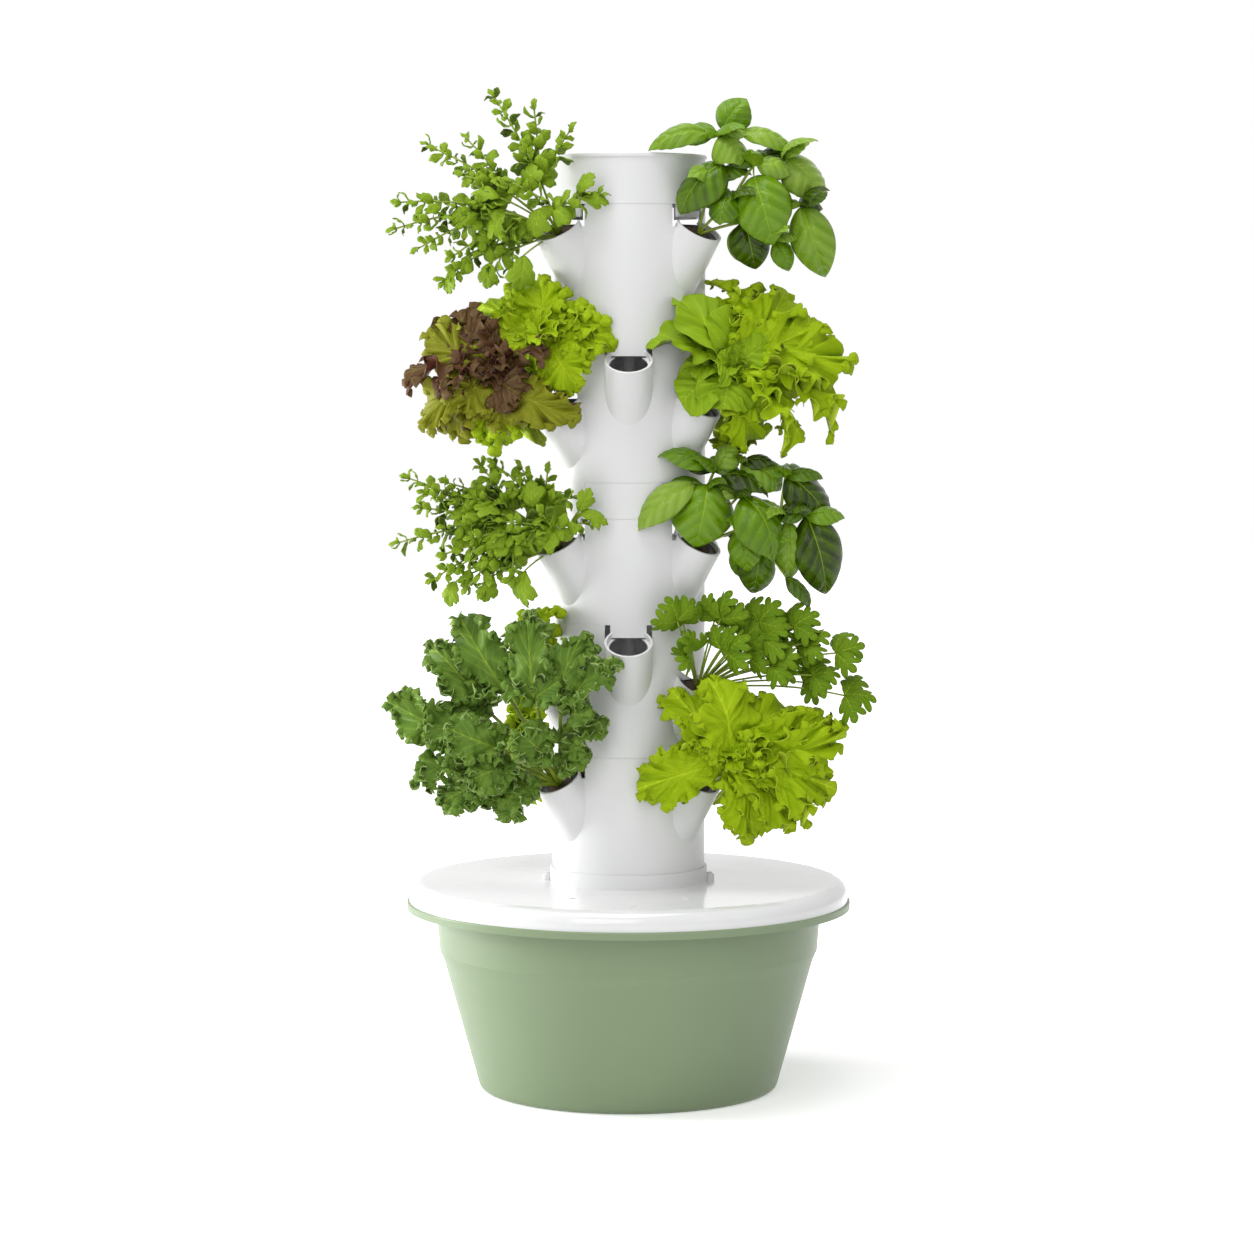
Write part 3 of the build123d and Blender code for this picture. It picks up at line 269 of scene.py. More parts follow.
# Herbs: joints where a stem branches, each with the tips of its sprigs, and broad leaves as
# (stalk end, tip, width)
HERB_BOW = 0.02
HERB_SPRIG_BOW = 0.04
HERB_STALK_BOW = 0.05
HERB_LEAF = 30 * MM
HERB_TIP_LEAF = 16 * MM
HERB_RATIO = 0.8
HERB_TIP_RATIO = 0.55
HERB_SPREAD = (0.7, 1.2)
HERB_SPACING = 11 * MM
HERB_ANGLE = math.radians(58)
HERB_TURN = math.radians(70)
HERB_BROAD_LEAVES = (
    ((-28, 50, 44), (-46, 56, 72), 26), ((-30, 50, 42), (-68, 56, 32), 24),
    ((44, 40, -36), (50, 44, -84), 40), ((138, 16, -52), (152, 18, -84), 30),
    ((90, 26, -46), (96, 28, -80), 30), ((120, 18, -36), (126, 18, -62), 24),
    ((34, 38, 48), (34, 42, 84), 34), ((24, 46, 26), (28, 50, -12), 36),
    ((70, 40, 20), (96, 44, -10), 34), ((76, 36, 40), (112, 38, 52), 30),
)
UPPER_HERB_BRANCHES = (
    ((22, 16, 62), ((84, 4, 174), (31, 12, 158), (-16, 28, 128), (40, 34, 100))),
    ((60, 12, 44), ((172, 0, 110), (120, -6, 118), (124, 20, 70))),
    ((70, 24, 24), ((210, 8, 35), (216, 14, 0), (185, 18, -26), (104, 42, 32))),
    ((52, 16, 12), ((150, 14, -70), (86, 26, -64), (64, -26, -52), (138, 24, -36), (70, 54, -8))),
    ((4, 40, 26), ((-56, 50, 42), (60, 48, 60))),
)
LOWER_HERB_BRANCHES = (
    ((18, 18, 48), ((49, 12, 100), (14, 20, 94), (-20, 44, 62), (60, 34, 74), (84, 14, 104))),
    ((60, 12, 44), ((104, 4, 102), (148, 4, 80), (110, 28, 60), (132, 16, 64))),
    ((72, 22, 24), ((200, 6, 86), (183, 10, 46), (214, 10, 0), (150, 26, 22), (176, 14, 66))),
    ((52, 16, 10), ((166, 18, -48), (100, 28, -64), (66, -26, -50), (137, 24, -34), (92, 40, -22))),
    ((6, 42, 18), ((-46, 52, 30), (42, 52, 6), (70, 48, 30), (112, 40, 8), (20, 56, 40))),
    ((60, 30, 6), ((120, 30, -58), (60, 44, -44), (150, 26, -14))),
)


def tint(red, green, blue):
    """A display colour of 0 to 255 as the linear colour that a shader takes."""
    shares = [value / 255 for value in (red, green, blue)]
    return tuple(s / 12.92 if s <= 0.04045 else ((s + 0.055) / 1.055) ** 2.4 for s in shares)


def colour_property(name, description, *display):
    return FloatVectorProperty(
        name=name, description=description, default=tint(*display), subtype="COLOR", min=0, max=1
    )


def power_property(name, description, default):
    return FloatProperty(name=name, description=description, default=default, subtype="POWER")


def length_property(name, description, default):
    return FloatProperty(name=name, description=description, default=default, unit="LENGTH")


class TowerColours(PropertyGroup):
    """Main colours of the moulded and metal pieces, the leaves and the stems."""

    column: colour_property("Column", "Satin white of the column and cap", 234, 234, 235)
    lid: colour_property("Lid", "Glossy white of the reservoir lid", 240, 240, 241)
    basin: colour_property("Basin", "Sage green of the reservoir basin", 134, 153, 118)
    pipe: colour_property("Pipe", "White of the riser pipe", 226, 227, 226)
    cup: colour_property("Cup", "Charcoal of the net cups", 38, 38, 36)
    pump: colour_property("Pump", "Dark grey of the pump's case", 46, 48, 51)
    rubber: colour_property("Rubber", "Black of the seals and feet", 24, 24, 25)
    steel: colour_property("Steel", "Grey of the screws and shaft", 178, 180, 184)
    winding: colour_property("Winding", "Lacquered copper of the stator", 158, 88, 42)
    ferrite: colour_property("Ferrite", "Dull grey of the magnet", 58, 56, 58)
    plug: colour_property("Root plug", "Peat brown of the root plugs", 64, 46, 32)
    herb: colour_property("Herb", "Soft green of the bushy herbs", 112, 146, 24)
    basil: colour_property("Basil", "Deep green of the basils", 102, 144, 2)
    lettuce: colour_property("Lettuce", "Yellow-green of the frilled lettuces", 146, 176, 4)
    smooth: colour_property("Smooth lettuce", "Mid green of the smooth lettuce", 118, 154, 6)
    red: colour_property("Red lettuce", "Brown-purple of the red lettuce", 80, 36, 34)
    olive: colour_property("Olive lettuce", "Olive of the red lettuce's outer leaves", 124, 126, 20)
    bright: colour_property("Bright lettuce", "Bright green of the lowest lettuce", 150, 180, 4)
    parsley: colour_property("Parsley", "Dark green of the parsley", 78, 118, 4)
    kale: colour_property("Kale", "Grey-green of the kale", 70, 110, 42)
    stem: colour_property("Stems", "Pale green of the stems", 150, 174, 44)


class FoliageForm(PropertyGroup):
    """Sizes that all the plants share."""

    leaf_thickness: length_property("Leaf thickness", "Thickness of a leaf", 0.7 * MM)
    stem_radius: length_property("Stem radius", "Radius of a main stem", 2.2 * MM)
    petiole_radius: length_property("Stalk radius", "Radius of a leaf's stalk", 1.5 * MM)
    twig_radius: length_property("Twig radius", "Radius of a sprig's stem", 1.2 * MM)


class StageSettings(PropertyGroup):
    """Camera and light of the studio stage."""

    camera_distance: length_property("Camera distance", "Level distance from the column's axis", 5.217)
    camera_height: length_property("Camera height", "Height of the camera", 1.0466)
    camera_side: length_property("Camera side", "Place of the camera, left to right", -0.002)
    camera_tilt: FloatProperty(
        name="Camera tilt", description="How far the camera looks down",
        default=math.radians(4.47), subtype="ANGLE",
    )
    focal_length: FloatProperty(
        name="Focal length", description="Focal length in pixels of the photograph", default=3800.0
    )
    key_power: power_property("Key light", "Power of the lamp at the left", 40.0)
    front_power: power_property("Front light", "Power of the lamp at the front", 47.0)
    fill_power: power_property("Fill light", "Power of the lamp at the right", 5.0)
    top_power: power_property("Top light", "Power of the lamp overhead", 48.0)
    sky: FloatProperty(
        name="Sky", description="Strength of the even light from all sides", default=0.37,
        subtype="FACTOR", min=0, max=1,
    )


def math_method(operation):
    return lambda wire, other: wire.look.math(operation, wire, other)


def reflected_method(operation):
    return lambda wire, other: wire.look.math(operation, other, wire)


class Wire:
    """A shader socket. Arithmetic on it adds Math nodes."""

    def __init__(self, look, socket):
        self.look = look
        self.socket = socket

    __add__ = __radd__ = math_method("ADD")
    __mul__ = __rmul__ = math_method("MULTIPLY")
    __sub__ = math_method("SUBTRACT")
    __rsub__ = reflected_method("SUBTRACT")
    __truediv__ = math_method("DIVIDE")
    __rtruediv__ = reflected_method("DIVIDE")
    __pow__ = math_method("POWER")
    __rpow__ = reflected_method("POWER")

    def math(self, operation, *others):
        return self.look.math(operation, self, *others)

    def clamped(self):
        return self.look.node("ShaderNodeClamp", {}, {"Value": self})

    def around(self, middle, span):
        """A noise of 0 to 1 as a value that varies around a middle."""
        return (self - 0.5) * span + middle


class Look:
    """The nodes of a material, or of the world, while they are being made."""

    def __init__(self, owner):
        owner.use_nodes = True
        self.owner = owner
        self.tree = owner.node_tree

    def node(self, kind, settings, sockets, output=0):
        """Adds a node: its settings first, then the values or links of its sockets."""
        made = self.tree.nodes.new(kind)
        for key, value in settings.items():
            setattr(made, key, value)
        self.fill(made, sockets)
        return Wire(self, made.outputs[output])

    def fill(self, node, sockets):
        for key, value in sockets.items():
            if isinstance(value, Wire):
                self.tree.links.new(value.socket, node.inputs[key])
            else:
                node.inputs[key].default_value = value

    def math(self, operation, *values):
        return self.node("ShaderNodeMath", {"operation": operation}, dict(enumerate(values)))

    def place(self):
        return self.node("ShaderNodeTexCoord", {}, {}, "Object")

    def noise(self, scale, detail=3.0, roughness=0.55):
        sockets = {"Vector": self.place(), "Scale": scale, "Detail": detail, "Roughness": roughness}
        return self.node("ShaderNodeTexNoise", {}, sockets, "Fac")

    def mix(self, first, second, share):
        """Colour between two colours."""
        first, second = (c if isinstance(c, Wire) else (*c, 1.0) for c in (first, second))
        return self.node("ShaderNodeMix", {"data_type": "RGBA"}, {0: share, 6: first, 7: second}, 2)

    def shades(self, colour, span, share):
        """Colour between the darkest and the lightest shade of one colour."""
        dark, light = (scaled(colour, factor) for factor in span)
        return self.mix(dark, light, share)

    def bump(self, height, strength, depth):
        sockets = {"Height": height, "Strength": strength, "Distance": depth}
        return self.node("ShaderNodeBump", {}, sockets)

    def surface(self, **sockets):
        """Sets the shader's sockets, with underscores for the blanks in their names."""
        values = {key.replace("_", " "): value for key, value in sockets.items()}
        self.fill(self.tree.nodes["Principled BSDF"], values)
        return self.owner


def new_look(name):
    return Look(bpy.data.materials.new(name))


def scaled(colour, factor):
    return tuple(min(1.0, c * factor) for c in colour)


def blended(first, second, share):
    return tuple(a + (b - a) * share for a, b in zip(first, second))


# Finishes: darkest and lightest shades as shares of a colour, and spans of roughness
MOULDED_SPAN = (0.965, 1.02)
METAL_SPAN = (0.85, 1.0)
WINDING_SPAN = (0.35, 1.0)
PEAT_SPAN = (0.45, 1.6)
STEM_SPAN = (0.62, 1.12)
FIBRE_SHADE = 2.6
FIBRE_START = 0.62
FIBRE_GAIN = 3
MOULDED_GLOSS = 0.12
UNEVEN_GLOSS = 0.2
DULLING = 0.1

# Leaves: shades beside a leaf's main colour (one for painted shade, one for painted highlights and a
# lighter edge that is partly painted light), its veins, its painted shade, how light its painted ridge
# highlights and edge are, and relief
DEEP_SHADE = 0.12
PALE_SHADE = 1.7
PALE_TINT = (208, 222, 70)
PALE_SHARE = 0.4
EDGE_AND_HIGHLIGHT_SHADE = 1.6
EDGE_AND_HIGHLIGHT_TINT = (222, 234, 90)
EDGE_AND_HIGHLIGHT_SHARE = 0.5
RIB_END = 1.12
VEIN_POWER = 7
VEIN_END = 1.1
VEIN_WANDER = 0.12
LIGHT_GAIN = 3.2
LIGHT_START = 0.75
BLOTCH_GAIN = 0.8
MARGIN_GAIN = 1.4
MARGIN_START = 0.1
HIGHLIGHT_GAIN = 3.6
HIGHLIGHT_START = 2.0
STALK_FADE = 0.6
SKIN_HEIGHT = 0.2
BLISTER_HEIGHT = 0.6
BLOTCH_HEIGHT = 0.4
VEIN_DEPTH = 0.7
RIB_DEPTH = 0.6
UNDER = "_under"
UNDER_RIB = 1.3
UNDER_PALE = 0.5
UNDER_RIB_SHARE = 0.8
UNDER_VEIN_SHARE = 0.4


def moulded_look(name, colour, roughness, grain=900.0, depth=0.05 * MM, coat=0.0):
    """Moulded plastic: a faint cloudiness in its colour, uneven gloss and a fine grain."""
    look = new_look(name)
    return look.surface(
        Base_Color=look.shades(colour, MOULDED_SPAN, look.noise(scale=9.0)),
        Roughness=look.noise(scale=40.0, detail=2.0).around(roughness, MOULDED_GLOSS),
        Normal=look.bump(look.noise(scale=grain, detail=2.0), strength=0.35, depth=depth),
        Coat_Weight=coat,
        Coat_Roughness=0.08,
    )


def metal_look(name, colour, roughness):
    """Metal with fine scratches."""
    look = new_look(name)
    scratch = look.noise(scale=2200.0, detail=1.0)
    return look.surface(
        Base_Color=look.shades(colour, METAL_SPAN, scratch),
        Metallic=1.0,
        Roughness=scratch.around(roughness, UNEVEN_GLOSS),
        Normal=look.bump(scratch, strength=0.2, depth=0.03 * MM),
    )


def winding_look(name, colour):
    """Lacquered wire, as fine ridges side by side."""
    look = new_look(name)
    sockets = {"Vector": look.place(), "Scale": 420.0, "Distortion": 0.4}
    ridges = look.node("ShaderNodeTexWave", {"bands_direction": "Y"}, sockets, "Fac")
    return look.surface(
        Base_Color=look.shades(colour, WINDING_SPAN, ridges),
        Metallic=0.7,
        Roughness=0.4 - ridges * DULLING,
        Normal=look.bump(ridges, strength=0.6, depth=0.3 * MM),
    )


def peat_look(name, colour):
    """Crumbly root plug with paler fibres."""
    look = new_look(name)
    crumbs = look.noise(scale=420.0, detail=5.0, roughness=0.7)
    fibres = (look.noise(scale=160.0, detail=2.0) - FIBRE_START).clamped() * FIBRE_GAIN
    body = look.shades(colour, PEAT_SPAN, crumbs)
    return look.surface(
        Base_Color=look.mix(body, scaled(colour, FIBRE_SHADE), fibres),
        Roughness=0.9 - crumbs * DULLING,
        Normal=look.bump(crumbs, strength=0.8, depth=1.2 * MM),
    )


def stem_look(name, colour):
    """Fibrous green stem, darker in patches."""
    look = new_look(name)
    fibre = look.noise(scale=700.0, detail=2.0)
    return look.surface(
        Base_Color=look.shades(colour, STEM_SPAN, look.noise(scale=30.0)),
        Roughness=fibre.around(0.42, UNEVEN_GLOSS),
        Normal=look.bump(fibre, strength=0.3, depth=0.3 * MM),
    )


@dataclass
class LeafShade:
    """How one kind of leaf is coloured: its four colours, one of them for painted shade and one for
    painted highlights, veins, gloss and relief.
    """

    # The dark colour is that of painted shade; the edge colour is that of painted highlights on ridges
    # and of a lighter edge that is partly painted light.
    body: tuple
    shade_colour: tuple = None
    pale: tuple = None
    edge: tuple = None
    rib: float = 0.07
    rib_share: float = 0.75
    veins: float = 7.0
    lean: float = 0.5
    vein_share: float = 0.25
    pale_base: float = 0.0
    heart_shade: float = 0.0
    pale_and_lit_edge_share: float = 0.5
    ridge_highlight_share: float = 0.8
    roughness: float = 0.34
    specular: float = 0.1
    relief: float = 0.7

    def __post_init__(self):
        self.shade_colour = self.shade_colour or scaled(self.body, DEEP_SHADE)
        self.pale = self.pale or blended(scaled(self.body, PALE_SHADE), tint(*PALE_TINT), PALE_SHARE)
        self.edge = self.edge or blended(scaled(self.body, EDGE_AND_HIGHLIGHT_SHADE), tint(*EDGE_AND_HIGHLIGHT_TINT), EDGE_AND_HIGHLIGHT_SHARE)


def leaf_map(look, shade, rib, wander):
    """Where a point is along and across a leaf, and its shares of the midrib and of a side vein."""
    uv = look.node("ShaderNodeUVMap", {"uv_map": "leaf"}, {})
    along = look.node("ShaderNodeSeparateXYZ", {}, {"Vector": uv}, "X")
    across = look.node("ShaderNodeSeparateXYZ", {}, {"Vector": uv}, "Y")
    side = (across - 0.5).math("ABSOLUTE") * 2
    midrib = (1 - side / (RIB_END - along) / rib).clamped()
    rows = ((along - side * shade.lean + wander) * (shade.veins * FULL_TURN)).math("SINE")
    return along, side, midrib, (rows * 0.5 + 0.5) ** VEIN_POWER * (VEIN_END - side)


def leaf_look(name, colour, **form):
    """A leaf's upper face: midrib, slanting side veins, a blotchy body with painted shade, painted
    highlights on its ridges, and an edge that is lighter partly as painted light.
    """
    look = new_look(name)
    shade = LeafShade(colour, **form)
    wander = (look.noise(scale=70.0, detail=2.0) - 0.5) * VEIN_WANDER
    along, side, midrib, veins = leaf_map(look, shade, shade.rib, wander)
    tone = look.node("ShaderNodeAttribute", {"attribute_name": "tone"}, {}, "Fac")
    rim = look.node("ShaderNodeAttribute", {"attribute_name": "rim"}, {}, "Fac")
    blotch = look.noise(scale=38.0, detail=4.0)
    # Painted shade: the leaf grows darker towards its stalk end, where other leaves shade it, and darker
    # or lighter with the painted shade of its hollows and ridges beside its random tone.
    heart = 1 - shade.heart_shade + along * shade.heart_shade
    light = heart * (tone * LIGHT_GAIN - LIGHT_START) + (blotch - 0.5) * BLOTCH_GAIN
    body = look.mix(shade.shade_colour, shade.body, light.clamped())
    # A lighter edge, partly the leaf's paler margin and partly painted light.
    margin = rim * shade.pale_and_lit_edge_share * (tone * MARGIN_GAIN + MARGIN_START)
    # Painted highlights: the ridges that the painted shade lights turn towards the edge colour.
    ridges = (tone * HIGHLIGHT_GAIN - HIGHLIGHT_START) * shade.ridge_highlight_share
    body = look.mix(body, shade.edge, margin.math("MAXIMUM", ridges).clamped())
    paleness = (midrib * shade.rib_share).math("MAXIMUM", veins * shade.vein_share)
    if shade.pale_base:
        stalk = (1 - along / shade.pale_base).clamped() * (1 - side * STALK_FADE)
        paleness = paleness.math("MAXIMUM", stalk)
    height = look.noise(scale=260.0) * SKIN_HEIGHT + look.noise(scale=110.0, detail=2.0) * BLISTER_HEIGHT
    height = height - veins * VEIN_DEPTH - midrib * RIB_DEPTH + blotch * BLOTCH_HEIGHT
    return look.surface(
        Base_Color=look.mix(body, shade.pale, paleness.clamped()),
        Roughness=blotch.around(shade.roughness, UNEVEN_GLOSS),
        Specular_IOR_Level=shade.specular,
        Normal=look.bump(height, strength=shade.relief, depth=4.0 * MM),
    )


def underside_look(name, colour, **form):
    """A leaf's underside: paler and duller, with raised veins."""
    look = new_look(name)
    shade = LeafShade(colour, **form)
    *_, midrib, veins = leaf_map(look, shade, shade.rib * UNDER_RIB, 0.0)
    blotch = look.noise(scale=40.0)
    body = look.mix(shade.body, blended(shade.body, shade.pale, UNDER_PALE), blotch)
    lines = midrib * UNDER_RIB_SHARE + veins * UNDER_VEIN_SHARE
    return look.surface(
        Base_Color=look.mix(body, shade.pale, lines.clamped()),
        Roughness=0.6 - blotch * DULLING,
        Specular_IOR_Level=shade.specular,
        Normal=look.bump(veins + midrib + blotch * BLOTCH_HEIGHT, strength=0.5, depth=1.2 * MM),
    )


@dataclass
class LeafForm:
    """How one kind of leaf is cut and curled. Heights are shares of its length or width."""

    cuts: int
    rings: int = 0
    neck: float = 0.2
    point: float = 0.0
    teeth: float = 0.0
    tooth_depth: float = 0.0
    lobes: float = 0.0
    cleft: float = 0.0
    billow: float = 0.0
    billows: float = 3.0
    scallop: float = 0.0
    frill: float = 0.0
    waves: float = 0.0
    rim: float = 4.0
    ripple: float = 0.2
    curls: float = 0.3
    pucker: float = 0.0
    ribs: float = 6.0
    fold: float = 0.0
    groove: float = 0.0
    cup: float = 0.0
    curl: float = 0.0
    twist: float = 0.0
    crown: float = LEAF_CROWN
    spread: tuple = (0, 0)


BASIL_LEAF = LeafForm(
    cuts=24, neck=0.16, point=0.3, billow=0.03, pucker=0.06, ribs=4.5, groove=0.04, cup=0.22,
    curl=0.2, twist=0.25, crown=0.18,
)
FRILLED_LEAF = LeafForm(
    cuts=150, rings=7, neck=0.28, teeth=35.0, tooth_depth=0.018, lobes=5.0, cleft=0.1, billow=0.1,
    billows=5.0, scallop=0.08, frill=0.12, waves=11.0, rim=3.0, pucker=0.07, ribs=7.0, fold=0.25,
    curl=0.16, twist=0.6,
)
REAR_LEAF = replace(FRILLED_LEAF, cuts=108, rings=6, teeth=0.0, tooth_depth=0.0)
SMOOTH_LEAF = LeafForm(
    cuts=100, rings=8, neck=0.34, billow=0.1, billows=4.0, scallop=0.05, frill=0.06, waves=9.0,
    pucker=0.07, fold=0.25, curl=0.12, twist=0.5,
)
KALE_LEAF = LeafForm(
    cuts=100, rings=5, lobes=7.0, cleft=0.2, billow=0.13, billows=5.0, frill=0.06, waves=15.0,
    pucker=0.05, ribs=5.0, fold=0.15, curl=0.16, twist=0.6,
)
KALE_SIDE_LEAF = replace(
    KALE_LEAF, cuts=60, rings=4, lobes=5.0, billow=0.14, billows=4.0, frill=0.08, waves=9.0,
    ripple=0.0, ribs=4.0, fold=0.2, twist=0.9,
)
LETTUCE_CURL = LeafForm(
    cuts=12, rings=2, neck=0.1, billow=0.3, cup=0.35, curl=0.3, twist=0.9, spread=(10, 19)
)
KALE_CURL = replace(LETTUCE_CURL, cuts=10, twist=2.5, spread=(9, 17))
HERB_LEAFLET = LeafForm(
    cuts=24, rings=2, neck=0.3, lobes=5.0, cleft=0.3, billow=0.08, groove=0.05, cup=0.1, curl=0.2,
    twist=0.6,
)
HERB_BROAD_LEAF = replace(
    HERB_LEAFLET, cuts=60, rings=4, teeth=15.0, tooth_depth=0.03, billow=0.06, twist=0.4
)
PARSLEY_LEAFLET = LeafForm(
    cuts=56, rings=4, neck=0.42, lobes=7.0, cleft=0.42, billow=0.05, groove=0.03, cup=0.12,
    curl=0.16, twist=0.35,
)


class Pocket:
    """One planted pocket: where its lip is, which way it faces and the body its cup belongs to."""

    def __init__(self, cup):
        self.body = f"cup_{cup}"
        joint = next(j for j in frame["joints"] if j["child"] == self.body)
        self.axis = Vector(joint["axis"]).normalized()
        azimuth = math.atan2(self.axis.x, -self.axis.y)
        lip_height = joint["deforming_nodes"][0]["fixed_end_z_m"]
        self.hand = 1 if azimuth > 0 else -1
        self.turn = azimuth - self.hand * SIDE_AZIMUTH
        self.along_wall = Vector((math.cos(azimuth), math.sin(azimuth), 0))
        self.lip = Vector((math.sin(azimuth), -math.cos(azimuth), 0)) * POCKET_CENTRE
        self.lip.z = lip_height

    def vector(self, place):
        """A direction given to the right, towards the viewer and up, turned to this pocket."""
        right, near, up = place
        across = self.hand * right
        cosine, sine = math.cos(self.turn), math.sin(self.turn)
        return Vector((across * cosine + near * sine, across * sine - near * cosine, up))

    def point(self, place):
        return self.lip + self.vector(place) * MM


def squared(direction, ahead):
    """A direction turned square to another, with length 1."""
    return (direction - ahead * direction.dot(ahead)).normalized()


class Plant:
    """One plant while it is grown: its leaves in one mesh and its stems in another."""

    def __init__(self, name, cup, slot, facing, *kinds):
        self.name = name
        self.slot = slot
        self.looks = [material(kind + face) for face in ("", UNDER) for kind in kinds]
        self.sizes = bpy.context.scene.tower_form
        self.pocket = Pocket(cup)
        self.root = self.pocket.point(PLANT_ROOT)
        self.facing = self.pocket.vector(facing)
        self.stems = bmesh.new()
        self.leaves = bmesh.new()
        self.uv = self.leaves.loops.layers.uv.new("leaf")
        self.tone = self.leaves.verts.layers.float.new("tone")
        self.rim = self.leaves.verts.layers.float.new("rim")
        self.chance = random.Random(name)

    def sway(self, span):
        return Vector([self.chance.uniform(-span, span) for _ in range(3)])

    def leaf(self, form, base, tip, width, facing=None, kind=0):
        """Adds one leaf from its stalk end to its tip, and returns the points of its margin.

        Its upper face is turned to facing, or else to where the plant faces.
        """
        chance = self.chance
        length = (tip - base).length
        ahead = (tip - base) / length
        facing = self.facing if facing is None else facing
        upper = squared(facing.normalized() + self.sway(1) * form.twist, ahead)
        placed = Matrix((ahead, upper.cross(ahead), upper)).transposed().to_4x4()
        placed.translation = base
        tone = chance.random()
        phases = [chance.uniform(0, FULL_TURN) for _ in range(3)]
        bend = chance.uniform(-LEAF_BEND, LEAF_BEND)
        rows = form.rings or int(form.cuts * GRID_RATIO)
        grid = bmesh.ops.create_grid(self.leaves, x_segments=form.cuts, y_segments=rows, size=1.0)
        as_disc = round_disc if form.rings else square_disc
        flat = {}
        margin = []
        for vert in grid["verts"]:
            on_rim = vert.co.y > RIM_ROW
            disc = as_disc(vert.co)
            place, flat[vert], (rim, ridge_shade) = leaf_point(form, disc, length, width, phases, bend)
            vert.co = placed @ place
            vert[self.rim] = rim
            # Each vertex gets the leaf's random tone mixed with painted shade, lighter on ridges and
            # darker in hollows.
            vert[self.tone] = tone + (ridge_shade - tone) * RIDGE_SHADE_SHARE
            if on_rim:
                margin.append(vert.co.copy())
        for face in {face for vert in grid["verts"] for face in vert.link_faces}:
            face.material_index = kind
            for loop in face.loops:
                loop[self.uv].uv = flat[loop.vert]
        if form.rings:
            bmesh.ops.remove_doubles(self.leaves, verts=grid["verts"], dist=SEAM_GAP)
        return margin

    def curled_leaf(self, form, base, tip, width, curl, count, kind=0):
        """Adds one leaf with small curled lobes along its margin."""
        chance = self.chance
        margin = self.leaf(form, base, tip, width, kind=kind)
        middle = base.lerp(tip, 0.5)
        for number in range(count):
            share = CURL_START + (1 - 2 * CURL_START) * (number + chance.random()) / count
            edge = margin[int(share * len(margin))]
            outward = (edge - middle).normalized()
            size = chance.uniform(*curl.spread) * MM
            start = edge - outward * size * CURL_OVERLAP
            self.leaf(curl, start, start + outward * size, size * CURL_RATIO, kind=kind)

    def stem(self, start, end, bow, start_radius, end_radius):
        """Adds a tapering round stem that is bowed upwards by a share of its length."""
        rise = Vector((0, 0, 1)) * bow * (end - start).length
        shares = [step / STEM_STEPS for step in range(STEM_STEPS + 1)]
        path = [start.lerp(end, s) + rise * 4 * s * (1 - s) for s in shares]
        rings = []
        for step, point in enumerate(path):
            ahead = path[min(step + 1, STEM_STEPS)] - path[max(step - 1, 0)]
            turn = ahead.to_track_quat("Z", "Y").to_matrix().to_4x4()
            ring = bmesh.ops.create_circle(
                self.stems, cap_ends=step in (0, STEM_STEPS), segments=STEM_SIDES,
                radius=start_radius + (end_radius - start_radius) * step / STEM_STEPS,
                matrix=Matrix.Translation(point) @ turn,
            )
            rings.append(ring["verts"])
        for low, high in zip(rings, rings[1:]):
            bmesh.ops.bridge_loops(self.stems, edges=ring_edges(low) + ring_edges(high))

    def finish(self):
        """Makes the two pieces. The leaves stand in place of the plant's plain solid."""
        piece = finished_piece(f"{self.name}_leaves", self.leaves, self.looks, self.pocket)
        wall = piece.modifiers.new("thickness", "SOLIDIFY")
        wall.thickness = self.sizes.leaf_thickness
        wall.offset = 0.0
        wall.material_offset = len(self.looks) // 2
        wall.material_offset_rim = 0
        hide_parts(self.name)
        bmesh.ops.recalc_face_normals(self.stems, faces=self.stems.faces)
        finished_piece(f"{self.name}_stems", self.stems, [material("stem")], self.pocket)


def square_disc(corner):
    """A point of a disc from a point of a two by two square, with the square's edge on the rim."""
    ahead = corner.x * math.sqrt(1 - corner.y ** 2 / 2)
    return ahead, corner.y * math.sqrt(1 - corner.x ** 2 / 2)


def round_disc(corner):
    """A point of a disc from a point of a two by two square that is wrapped round the middle."""
    reach = 1 - ((1 - corner.y) / 2) ** RIM_CROWDING
    heading = math.pi * corner.x
    return reach * math.cos(heading), reach * math.sin(heading)


